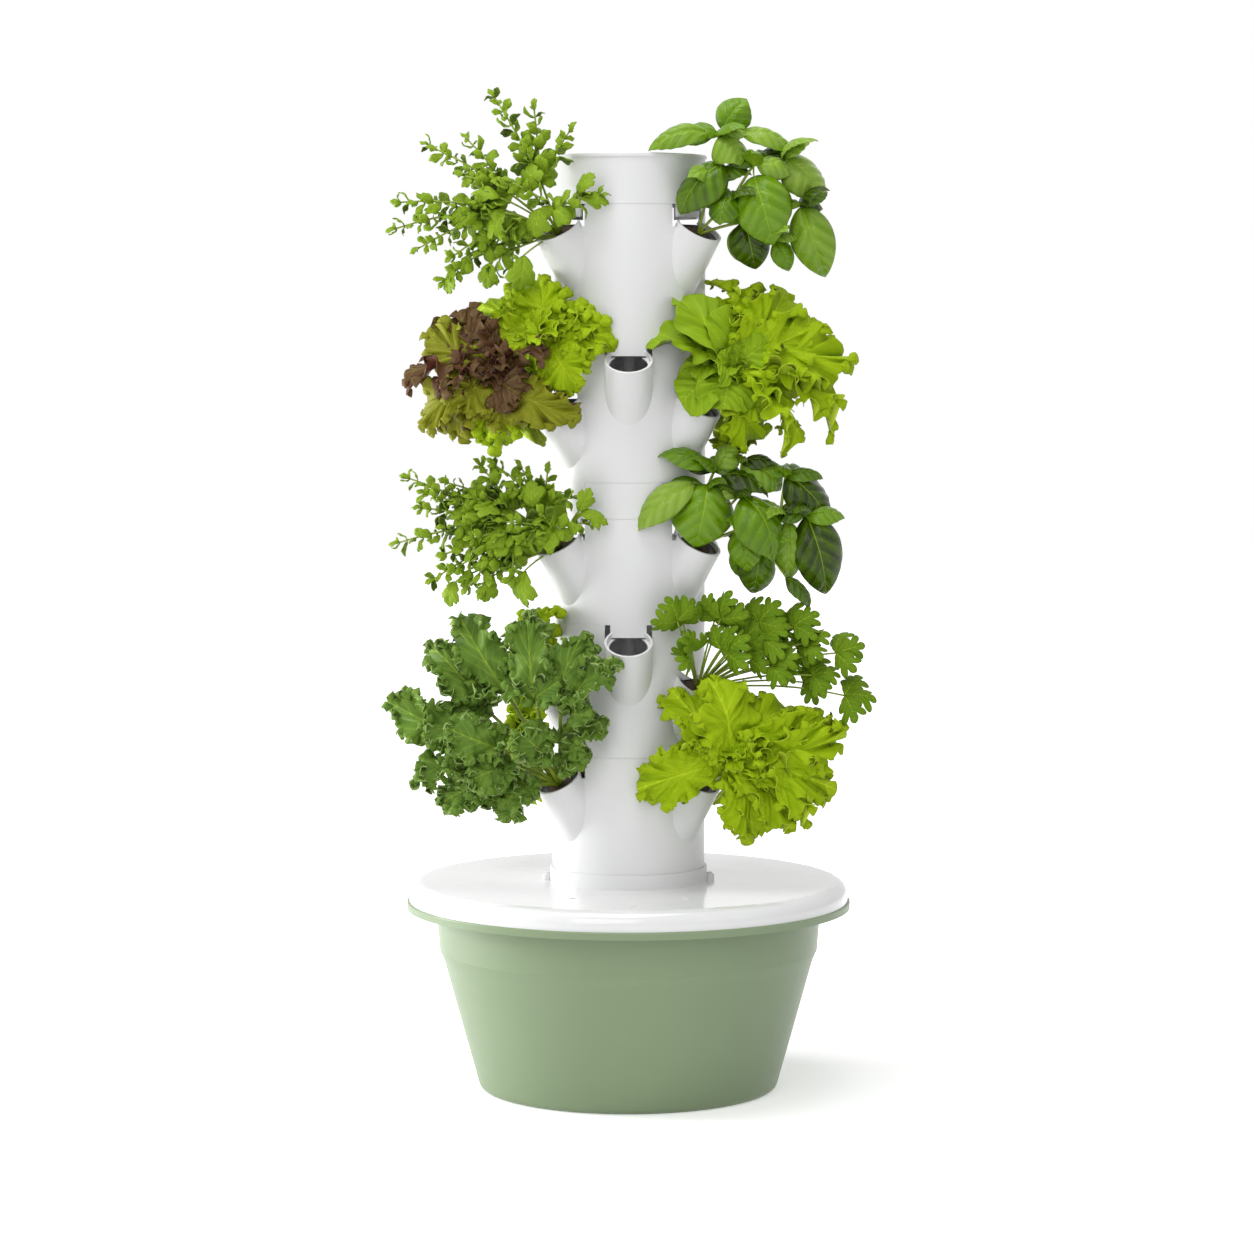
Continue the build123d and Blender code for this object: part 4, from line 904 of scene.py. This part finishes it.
def leaf_point(form, disc, length, width, phases, bend):
    """A point of a leaf, its place on the flat leaf, how near it is to the margin, and its painted shade,
    lighter on the ridges of its waves and puckers and darker in their hollows.
    """
    ahead, across = disc
    reach = math.hypot(ahead, across)
    heading = math.atan2(across, ahead)
    grown = min(1.0, max(0.0, (1 + ahead) * RIM_GROWTH))
    grown *= grown * (3 - 2 * grown)
    rim = reach ** form.rim * grown
    teeth = math.cos(form.teeth * heading)
    teeth += TOOTH_SHARE * math.cos(TOOTH_RATE * form.teeth * heading + phases[0])
    lobes = 1 - abs(math.cos(form.lobes * heading / 2)) ** LOBE_POWER
    scallops = 1 - abs(math.cos(form.waves * heading / 2)) ** SCALLOP_POWER
    swell = 1 - SWELL + SWELL * math.sin(SWELLS * heading + phases[0])
    cut = 1 + rim * (form.tooth_depth * teeth - form.scallop * scallops * swell)
    cut -= reach ** CLEFT_POWER * grown * form.cleft * lobes
    ahead, across = ahead * cut, across * cut
    share = min(1.0, max(0.0, (1 + ahead) / 2))
    low, high = 0.5 + form.neck, 0.5 + form.point
    widest = low / (low + high)
    taper = (max(share, TIP_GAP) / widest) ** form.neck
    taper *= (max(1 - share, TIP_GAP) / (1 - widest)) ** form.point
    side = across * taper / (2 * math.sqrt(widest * (1 - widest)))
    x = (1 + ahead) / 2 * length
    y = side * width / 2
    rise = form.crown * length
    dome = (length ** 2 / 4 + rise ** 2) / (2 * rise)
    z = rise - dome + math.sqrt(max(0.0, dome ** 2 - (x - length / 2) ** 2 - y ** 2))
    turn = form.waves * heading
    height = form.frill * length * rim * swell
    waves = height * (math.cos(turn) + form.ripple * math.sin(RIPPLE_RATE * turn + phases[2]))
    waves += form.billow * length * reach ** 2 * grown * math.sin(form.billows * heading + phases[2])
    sweep = form.curls * height * math.sin(2 * turn)
    x -= sweep * math.sin(heading)
    y += sweep * math.cos(heading)
    rows = math.sin(FULL_TURN * form.ribs * (share - RIB_SLANT * abs(side)))
    bulge = form.pucker * width * rows * abs(side) * (PUCKER_LIMIT - abs(side))
    z += waves + bulge
    z += form.fold * abs(y) - form.curl * length * share ** 3
    z -= form.groove * length * math.exp(-((side / GROOVE_WIDTH) ** 2)) + form.cup * width * side ** 2
    y += bend * length * share ** 2
    # Painted shade: lighter where the waves and puckers rise, darker where they sink.
    ridge_shade = 0.5 + WAVE_SHADE * waves / length + PUCKER_SHADE * bulge / width
    return Vector((x, y, z)), (share, 0.5 + side / 2), (rim, ridge_shade)


def linked(name, data):
    """A new object of the scene."""
    made = bpy.data.objects.new(name, data)
    bpy.context.scene.collection.objects.link(made)
    return made


def meshed(name, bm, looks):
    """A bmesh as an object with its materials."""
    mesh = bpy.data.meshes.new(name)
    bm.to_mesh(mesh)
    bm.free()
    for look in looks:
        mesh.materials.append(look)
    return linked(name, mesh)


def finished_piece(name, bm, looks, pocket):
    """Turns a bmesh into a smooth piece that rides with its pocket's cup."""
    for face in bm.faces:
        face.smooth = True
    piece = meshed(name, bm, looks)
    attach(piece, pocket.body)
    return piece


def ring_edges(verts):
    ring = set(verts)
    return list({edge for vert in verts for edge in vert.link_edges if edge.other_vert(vert) in ring})


def set_plug(cup):
    """The root plug of one cup as its own piece, with rounded ends."""
    pocket = Pocket(cup)
    turn = pocket.axis.to_track_quat("Z", "Y").to_matrix().to_4x4()
    middle = pocket.lip + pocket.axis * (CUP_TOP - PLUG_LENGTH / 2)
    bm = bmesh.new()
    bmesh.ops.create_cone(
        bm, cap_ends=True, segments=PLUG_SIDES, radius1=PLUG_FOOT, radius2=PLUG_MOUTH, depth=PLUG_LENGTH,
        matrix=Matrix.Translation(middle) @ turn,
    )
    ends = [edge for edge in bm.edges if edge.calc_face_angle() > SHARP_EDGE]
    bmesh.ops.bevel(
        bm, geom=ends, offset=PLUG_ROUNDING, affect="EDGES", segments=3, profile=0.5, material=-1
    )
    finished_piece(f"root_plug_{cup}", bm, [material("plug")], pocket)


# An edge colour here is that of painted highlights and of a lighter edge that is partly painted light; a
# dark colour is that of painted shade.
LEAF_KINDS = {
    "herb": dict(
        edge=tint(160, 190, 84), veins=4.0, vein_share=0.2, roughness=0.36, specular=0.18,
        pale_and_lit_edge_share=0.6,
    ),
    "basil": dict(
        edge=tint(170, 200, 84), veins=5.0, lean=0.35, vein_share=0.12, rib=0.05,
        roughness=0.2, specular=0.22, relief=0.35, pale_and_lit_edge_share=0.1,
    ),
    "lettuce": dict(lean=0.6, pale_base=0.25, heart_shade=0.9, pale_and_lit_edge_share=0.9),
    "smooth": dict(veins=6.0, roughness=0.28, specular=0.16, heart_shade=0.8),
    "red": dict(
        pale=tint(124, 112, 40), edge=tint(128, 78, 62), shade_colour=tint(36, 12, 16), veins=6.0,
        lean=0.6, vein_share=0.2, roughness=0.28, specular=0.3, rib_share=0.7,
        pale_base=0.35, pale_and_lit_edge_share=0.3, ridge_highlight_share=0.7,
    ),
    "olive": dict(
        pale=tint(166, 174, 44), edge=tint(88, 44, 30), shade_colour=tint(54, 44, 8), veins=6.0,
        lean=0.6, vein_share=0.3, roughness=0.28, specular=0.2, rib_share=0.9,
        pale_base=0.35, pale_and_lit_edge_share=1.2, ridge_highlight_share=0.0,
    ),
    "bright": dict(lean=0.6, pale_base=0.3, rib=0.08, heart_shade=0.9, pale_and_lit_edge_share=0.9),
    "parsley": dict(veins=5.0, vein_share=0.2, specular=0.12, pale_and_lit_edge_share=0.3),
    "kale": dict(
        edge=tint(178, 206, 122), veins=6.0, rib=0.08, rib_share=0.8, roughness=0.38,
        specular=0.14, heart_shade=0.6, pale_and_lit_edge_share=1.8,
    ),
}
FINISHES = {
    "column": (moulded_look, dict(roughness=0.36)),
    "lid": (moulded_look, dict(roughness=0.14, grain=1400.0, depth=0.02 * MM, coat=0.4)),
    "basin": (moulded_look, dict(roughness=0.38)),
    "pipe": (moulded_look, dict(roughness=0.4)),
    "cup": (moulded_look, dict(roughness=0.5, depth=0.1 * MM)),
    "pump": (moulded_look, dict(roughness=0.5, depth=0.15 * MM)),
    "rubber": (moulded_look, dict(roughness=0.7, depth=0.12 * MM)),
    "ferrite": (moulded_look, dict(roughness=0.6, depth=0.1 * MM)),
    "steel": (metal_look, dict(roughness=0.3)),
    "winding": (winding_look, {}),
    "plug": (peat_look, {}),
    "stem": (stem_look, {}),
    **{kind: (leaf_look, form) for kind, form in LEAF_KINDS.items()},
    **{kind + UNDER: (underside_look, form) for kind, form in LEAF_KINDS.items()},
}


def material(name):
    """One of the tower's finishes, made from its colour the first time it is asked for."""
    if name not in bpy.data.materials:
        make, form = FINISHES[name]
        colour = getattr(bpy.context.scene.tower_colours, name.removesuffix(UNDER))
        make(name, tuple(colour), **form)
    return bpy.data.materials[name]


def dress(nodes, finish):
    """Gives solids their finish."""
    for node in nodes:
        slots = frame["nodes"][node].data.materials
        slots.clear()
        slots.append(material(finish))


def grow_rosette(name, cup, slot, heart, side, *groups):
    """A lettuce, with its root to one side or in the middle. A group is (leaf form, finish, leaves)."""
    kinds = list(dict.fromkeys(finish for _, finish, _ in groups))
    plant = Plant(name, cup, slot, FACING_OUT, *kinds)
    pocket, chance = plant.pocket, plant.chance
    middle = pocket.point(heart)
    for form, finish, leaves in groups:
        kind = kinds.index(finish)
        curls = ROSETTE_CURLS if form is FRILLED_LEAF else 0
        for *place, width in leaves:
            tip, breadth = pocket.point(place), width * ROSETTE_WIDTH * MM
            plant.curled_leaf(form, middle, tip, breadth, LETTUCE_CURL, curls, kind)
        for (*first, wide), (*second, narrow) in zip(leaves, leaves[1:]):
            between = pocket.point(first).lerp(pocket.point(second), chance.uniform(*INNER_PLACE))
            tip = middle.lerp(between, chance.uniform(*INNER_REACH))
            aside = plant.facing + plant.sway(INNER_SWAY)
            plant.leaf(form, middle, tip, (wide + narrow) / 2 * MM, aside, kind)
    outwards = plant.facing.normalized()
    for turn in range(HEART_LEAVES):
        heading = FULL_TURN * turn / HEART_LEAVES + chance.uniform(-HEART_SWAY, HEART_SWAY)
        aside = Matrix.Rotation(heading, 3, outwards) @ pocket.along_wall
        lean = outwards + aside * chance.uniform(*HEART_LEAN)
        tip = middle + lean * HEART_REACH * chance.uniform(*HEART_GROWTH)
        plant.leaf(groups[0][0], middle, tip, HEART_WIDTH, outwards - aside * 2)
    plant.stem(plant.root + pocket.along_wall * side * ROOT_OFFSET, middle, 0.0, *ROSETTE_STALK)
    plant.finish()


def grow_basil(name, cup, joints, links, leaves):
    """A basil: branched stems with glossy pointed leaves on short stalks."""
    plant = Plant(name, cup, "basil_leaf", FACING_UP, "basil")
    pocket, chance = plant.pocket, plant.chance
    stem, stalk = plant.sizes.stem_radius, plant.sizes.petiole_radius
    points = [pocket.point(place) for place in joints]
    for start, end in links:
        plant.stem(points[start], points[end], BASIL_BOW, stem, stem * BASIL_TAPER)
    for joint, base, tip, width in leaves:
        stalk_end = pocket.point(base)
        plant.stem(points[joint], stalk_end, BASIL_STALK_BOW, stalk, stalk * BASIL_STALK_TAPER)
        plant.leaf(BASIL_LEAF, stalk_end, pocket.point(tip), width * BASIL_WIDTH * MM)
    for joint in points[1:]:
        for turn in range(YOUNG_BASIL):
            heading = math.radians(chance.uniform(-YOUNG_SWAY, YOUNG_SWAY) + 360 * turn / YOUNG_BASIL)
            ahead = Vector((math.sin(heading), -math.cos(heading), chance.uniform(*YOUNG_RISE)))
            size = chance.uniform(*YOUNG_SIZE) * MM
            tip = joint + ahead.normalized() * size
            plant.leaf(BASIL_LEAF, joint, tip, size * YOUNG_RATIO, plant.facing + YOUNG_LIFT)
    plant.finish()


def grow_kale(name, cup, leaves):
    """A kale: thick pale stalks out of the pocket, each with three tightly curled blades."""
    plant = Plant(name, cup, "kale_leaf", FACING_OUT, "kale")
    pocket, stem = plant.pocket, plant.sizes.stem_radius
    for place, end, width in leaves:
        base, tip = pocket.point(place), pocket.point(end)
        plant.stem(plant.root, base, KALE_BOW, stem * KALE_STALK, stem)
        breadth = width * KALE_WIDTH * MM
        plant.curled_leaf(KALE_LEAF, base, tip, breadth, KALE_CURL, MAIN_CURLS)
        breadth = width * KALE_SIDE_WIDTH * MM
        for angle in (-KALE_SIDE_ANGLE, KALE_SIDE_ANGLE):
            aside = Matrix.Rotation(angle, 3, plant.facing.normalized()) @ (tip - base)
            side_tip = base + aside * KALE_SIDE_SHARE
            plant.curled_leaf(KALE_SIDE_LEAF, base, side_tip, breadth, KALE_CURL, SIDE_CURLS)
    plant.finish()


def grow_parsley(name, cup, leaves):
    """A parsley: each stalk ends in three deeply cut leaflets."""
    plant = Plant(name, cup, "parsley_leaf", FACING_UP, "parsley")
    pocket, sizes = plant.pocket, plant.sizes
    behind = [
        (
            right * PARSLEY_BEHIND_WIDTH, near - PARSLEY_BEHIND,
            up * PARSLEY_BEHIND_HEIGHT + PARSLEY_BEHIND, reach * PARSLEY_BEHIND_REACH,
        )
        for right, near, up, reach in leaves
    ]
    for *place, reach in (*leaves, *behind):
        middle = pocket.point(place)
        plant.stem(plant.root, middle, PARSLEY_BOW, sizes.petiole_radius, sizes.twig_radius)
        ahead = (middle - plant.root).normalized()
        upper = squared(plant.facing, ahead)
        size = reach * PARSLEY_GROWTH * MM
        for heading in (-PARSLEY_SPREAD, 0, PARSLEY_SPREAD):
            tip = middle + Matrix.Rotation(heading, 3, upper) @ ahead * size
            plant.leaf(PARSLEY_LEAFLET, middle, tip, size * PARSLEY_RATIO, upper)
    plant.finish()


def grow_sprig(plant, start, tip):
    """A herb's sprig, with pairs of lobed leaflets that shrink towards its tip and one at the tip."""
    plant.stem(start, tip, HERB_SPRIG_BOW, plant.sizes.petiole_radius, plant.sizes.twig_radius)
    ahead = (tip - start).normalized()
    upper = squared(plant.facing, ahead)
    pairs = round((tip - start).length / HERB_SPACING)
    for pair in range(pairs + 1):
        grown = pair / pairs
        size = HERB_LEAF + (HERB_TIP_LEAF - HERB_LEAF) * grown
        ratio = HERB_RATIO + (HERB_TIP_RATIO - HERB_RATIO) * grown
        base = start.lerp(tip, grown)
        hinge = Matrix.Rotation(pair * HERB_TURN, 3, ahead) @ upper
        for angle in (-HERB_ANGLE, HERB_ANGLE):
            reach = size * plant.chance.uniform(*HERB_SPREAD)
            leaf_tip = base + Matrix.Rotation(angle, 3, hinge) @ ahead * reach
            plant.leaf(HERB_LEAFLET, base, leaf_tip, reach * ratio, upper + hinge)
    leaf_tip = tip + ahead * HERB_TIP_LEAF
    plant.leaf(HERB_LEAFLET, tip, leaf_tip, HERB_TIP_LEAF * HERB_TIP_RATIO, upper)


def grow_herb(name, cup, branches):
    """A bushy herb: branched sprigs, and broad leaves on stalks of their own."""
    plant = Plant(name, cup, "herb_leaf", FACING_UP, "herb")
    pocket, sizes = plant.pocket, plant.sizes
    for joint, tips in branches:
        branch = pocket.point(joint)
        plant.stem(plant.root, branch, HERB_BOW, sizes.stem_radius, sizes.petiole_radius)
        for place in tips:
            grow_sprig(plant, branch, pocket.point(place))
    for base, tip, width in HERB_BROAD_LEAVES:
        start = pocket.point(base)
        plant.stem(plant.root, start, HERB_STALK_BOW, sizes.petiole_radius, sizes.twig_radius)
        plant.leaf(HERB_BROAD_LEAF, start, pocket.point(tip), width * MM)
    plant.finish()


class TowerOperator:
    """What all the tower's operators share."""

    bl_options = {"REGISTER", "UNDO"}


class TOWER_OT_column(TowerOperator, Operator):
    """Finishes the column's sections, its rings and its cap"""

    bl_idname = "tower.column"
    bl_label = "Column"

    def execute(self, context):
        sections = [f"tower_section_{number}" for number in range(1, 6)]
        rings = ["coupling_ring", "cap_ring", "base_ring", "base_ring_screws"]
        dress([*sections, *rings, "cap_lid"], "column")
        dress(["drip_tray", "riser_pipe", "riser_nozzle"], "pipe")
        return {"FINISHED"}


class TOWER_OT_reservoir(TowerOperator, Operator):
    """Finishes the basin, its lid and what is fitted to the lid"""

    bl_idname = "tower.reservoir"
    bl_label = "Reservoir"

    def execute(self, context):
        dress(["reservoir_basin"], "basin")
        dress(["reservoir_lid", "fill_cap"], "lid")
        dress(["fill_cap_seal", "cable_grommet"], "rubber")
        return {"FINISHED"}


class TOWER_OT_pump(TowerOperator, Operator):
    """Finishes the pump under the column"""

    bl_idname = "tower.pump"
    bl_label = "Pump"

    def execute(self, context):
        dress(["pump_body", "pump_cover", "pump_rotor"], "pump")
        dress(["pump_feet", "hose_adaptor"], "rubber")
        dress(["pump_cover_screws", "pump_shaft"], "steel")
        dress(["pump_stator"], "winding")
        dress(["rotor_magnet"], "ferrite")
        return {"FINISHED"}


class TOWER_OT_cups(TowerOperator, Operator):
    """Finishes the net cups and fills them with root plugs"""

    bl_idname = "tower.cups"
    bl_label = "Net cups"

    def execute(self, context):
        cups = [name for name in frame["nodes"] if name.startswith("net_cup_")]
        dress(cups, "cup")
        for name in cups:
            set_plug(name.removeprefix("net_cup_"))
        return {"FINISHED"}


class TOWER_OT_herbs(TowerOperator, Operator):
    """Grows the two bushy herbs at the left"""

    bl_idname = "tower.herbs"
    bl_label = "Herbs"

    def execute(self, context):
        grow_herb("upper_herb", "1_left", UPPER_HERB_BRANCHES)
        grow_herb("lower_herb", "3_left", LOWER_HERB_BRANCHES)
        return {"FINISHED"}


class TOWER_OT_basils(TowerOperator, Operator):
    """Grows the two basils at the right"""

    bl_idname = "tower.basils"
    bl_label = "Basils"

    def execute(self, context):
        grow_basil("upper_basil", "1_right", UPPER_BASIL_JOINTS, UPPER_BASIL_LINKS, UPPER_BASIL_LEAVES)
        grow_basil("lower_basil", "3_right", LOWER_BASIL_JOINTS, LOWER_BASIL_LINKS, LOWER_BASIL_LEAVES)
        return {"FINISHED"}


class TOWER_OT_lettuces(TowerOperator, Operator):
    """Grows the lettuces at the front and the rear"""

    bl_idname = "tower.lettuces"
    bl_label = "Lettuces"

    def execute(self, context):
        grow_rosette(
            "right_lettuce", "2_right", "lettuce_leaf", RIGHT_LETTUCE_HEART, 0,
            (SMOOTH_LEAF, "smooth", RIGHT_SMOOTH_LEAVES), (FRILLED_LEAF, "lettuce", RIGHT_FRILLED_LEAVES),
        )
        grow_rosette(
            "left_lettuce", "2_left", "lettuce_leaf", LEFT_LETTUCE_HEART, 1,
            (FRILLED_LEAF, "lettuce", LEFT_LETTUCE_LEAVES),
        )
        grow_rosette(
            "red_lettuce", "2_left", "red_leaf", RED_LETTUCE_HEART, -1,
            (FRILLED_LEAF, "red", RED_LETTUCE_LEAVES), (FRILLED_LEAF, "olive", RED_LETTUCE_OLIVE_LEAVES),
            (FRILLED_LEAF, "lettuce", RED_LETTUCE_GREEN_LEAVES),
        )
        grow_rosette(
            "bright_lettuce", "5_right", "bright_leaf", BRIGHT_LETTUCE_HEART, 0,
            (FRILLED_LEAF, "bright", BRIGHT_LETTUCE_LEAVES),
        )
        grow_rosette(
            "young_lettuce", "4_left", "bright_leaf", YOUNG_LETTUCE_HEART, 0,
            (FRILLED_LEAF, "bright", YOUNG_LETTUCE_LEAVES),
        )
        for section in (2, 5):
            for side in ("left", "right"):
                grow_rosette(
                    f"rear_lettuce_{section}_{side}", f"{section}_rear_{side}", "lettuce_leaf",
                    REAR_LETTUCE_HEART, 0, (REAR_LEAF, "lettuce", REAR_LETTUCE_LEAVES),
                )
        return {"FINISHED"}


class TOWER_OT_kale(TowerOperator, Operator):
    """Grows the kale at the lower left"""

    bl_idname = "tower.kale"
    bl_label = "Kale"

    def execute(self, context):
        grow_kale("kale", "5_left", KALE_LEAVES)
        return {"FINISHED"}


class TOWER_OT_parsley(TowerOperator, Operator):
    """Grows the parsley at the right"""

    bl_idname = "tower.parsley"
    bl_label = "Parsley"

    def execute(self, context):
        grow_parsley("parsley", "4_right", PARSLEY_LEAVES)
        return {"FINISHED"}


BACKDROP_RAYS = ("Camera", "Glossy", "Transmission")
FLOOR_HALF = 12.0
FLOOR_WHITE = tint(250, 250, 250)
FLOOR_SPAN = (0.99, 1.0)
NO_GLOW = (0.0, 0.0, 0.0)
FULL_GLOW = (1.0, 1.0, 1.0)
FLOOR_GLOW = 0.42
FLOOR_GLOW_START = 0.5
FLOOR_GLOW_WIDTH = 1.1

# Lamps as (name, setting of its power, place, side of its square)
LAMPS = (
    ("key_lamp", "key_power", (-2.1, 0.3, 0.7), 0.95),
    ("front_lamp", "front_power", (-0.9, -4.0, 2.4), 2.6),
    ("fill_lamp", "fill_power", (3.0, -2.2, 1.6), 2.0),
    ("top_lamp", "top_power", (-0.3, -0.6, 3.4), 2.0),
)


def backdrop_share(look):
    """1 on rays that show the background: straight to the camera, mirrored or seen through."""
    rays = [look.node("ShaderNodeLightPath", {}, {}, f"Is {kind} Ray") for kind in BACKDROP_RAYS]
    return (rays[0] + rays[1] + rays[2]).clamped()


class TOWER_OT_stage(TowerOperator, Operator):
    """Sets a pale floor, soft lamps, an even sky and the camera"""

    bl_idname = "tower.stage"
    bl_label = "Stage"

    def execute(self, context):
        settings = context.scene.tower_stage
        self.set_floor()
        self.set_sky(context, settings)
        aim = Vector((0, 0, (CAD_BOX[0].z + CAD_BOX[1].z) / 2))
        for name, power, place, size in LAMPS:
            lamp = bpy.data.lights.new(name, "AREA")
            lamp.energy = getattr(settings, power)
            lamp.size = size
            holder = linked(name, lamp)
            holder.location = place
            holder.rotation_euler = (aim - Vector(place)).to_track_quat("-Z", "Y").to_euler()
        self.set_camera(context, settings)
        context.scene.view_settings.view_transform = "Standard"
        return {"FINISHED"}

    def set_floor(self):
        bm = bmesh.new()
        bmesh.ops.create_grid(bm, x_segments=4, y_segments=4, size=FLOOR_HALF)
        look = new_look("floor")
        distance = look.node("ShaderNodeVectorMath", {"operation": "LENGTH"}, {0: look.place()}, "Value")
        away = ((distance - FLOOR_GLOW_START) / FLOOR_GLOW_WIDTH).clamped()
        glow = backdrop_share(look) * (FLOOR_GLOW + away * (1 - FLOOR_GLOW))
        look.surface(
            Base_Color=look.shades(FLOOR_WHITE, FLOOR_SPAN, look.noise(scale=3.0)),
            Roughness=0.8,
            Emission_Color=look.mix(NO_GLOW, FULL_GLOW, glow),
            Emission_Strength=1.0,
        )
        floor = meshed("floor", bm, [look.owner])

    def set_sky(self, context, settings):
        look = Look(bpy.data.worlds.new("studio_sky"))
        context.scene.world = look.owner
        shown = backdrop_share(look)
        strength = shown + (1 - shown) * settings.sky
        look.fill(look.tree.nodes["Background"], {"Color": (1, 1, 1, 1), "Strength": strength})

    def set_camera(self, context, settings):
        camera = bpy.data.cameras.new("camera")
        camera.sensor_width = SENSOR_WIDTH
        camera.lens = SENSOR_WIDTH * settings.focal_length / PHOTO_SIDE
        holder = linked("camera", camera)
        holder.location = (settings.camera_side, -settings.camera_distance, settings.camera_height)
        holder.rotation_euler = (math.pi / 2 - settings.camera_tilt, 0, 0)
        context.scene.camera = holder


STEPS = (
    TOWER_OT_column, TOWER_OT_reservoir, TOWER_OT_pump, TOWER_OT_cups, TOWER_OT_herbs,
    TOWER_OT_basils, TOWER_OT_lettuces, TOWER_OT_kale, TOWER_OT_parsley, TOWER_OT_stage,
)


class TOWER_PT_panel(Panel):
    """Lists the steps that dress the tower"""

    bl_idname = "TOWER_PT_panel"
    bl_label = "Hydroponic tower"
    bl_space_type = "VIEW_3D"
    bl_region_type = "UI"
    bl_category = "Tower"

    def draw(self, context):
        for step in STEPS:
            self.layout.operator(step.bl_idname)


GROUPS = {
    "tower_colours": TowerColours,
    "tower_form": FoliageForm,
    "tower_stage": StageSettings,
}


def register():
    for kind in (*GROUPS.values(), *STEPS, TOWER_PT_panel):
        bpy.utils.register_class(kind)
    for name, kind in GROUPS.items():
        setattr(bpy.types.Scene, name, PointerProperty(type=kind))


def unregister():
    for name in GROUPS:
        delattr(bpy.types.Scene, name)
    for kind in reversed((*GROUPS.values(), *STEPS, TOWER_PT_panel)):
        bpy.utils.unregister_class(kind)


def main():
    register()
    bpy.ops.tower.column()
    bpy.ops.tower.reservoir()
    bpy.ops.tower.pump()
    bpy.ops.tower.cups()
    bpy.ops.tower.herbs()
    bpy.ops.tower.basils()
    bpy.ops.tower.lettuces()
    bpy.ops.tower.kale()
    bpy.ops.tower.parsley()
    bpy.ops.tower.stage()


if __name__ == "__main__":
    main()
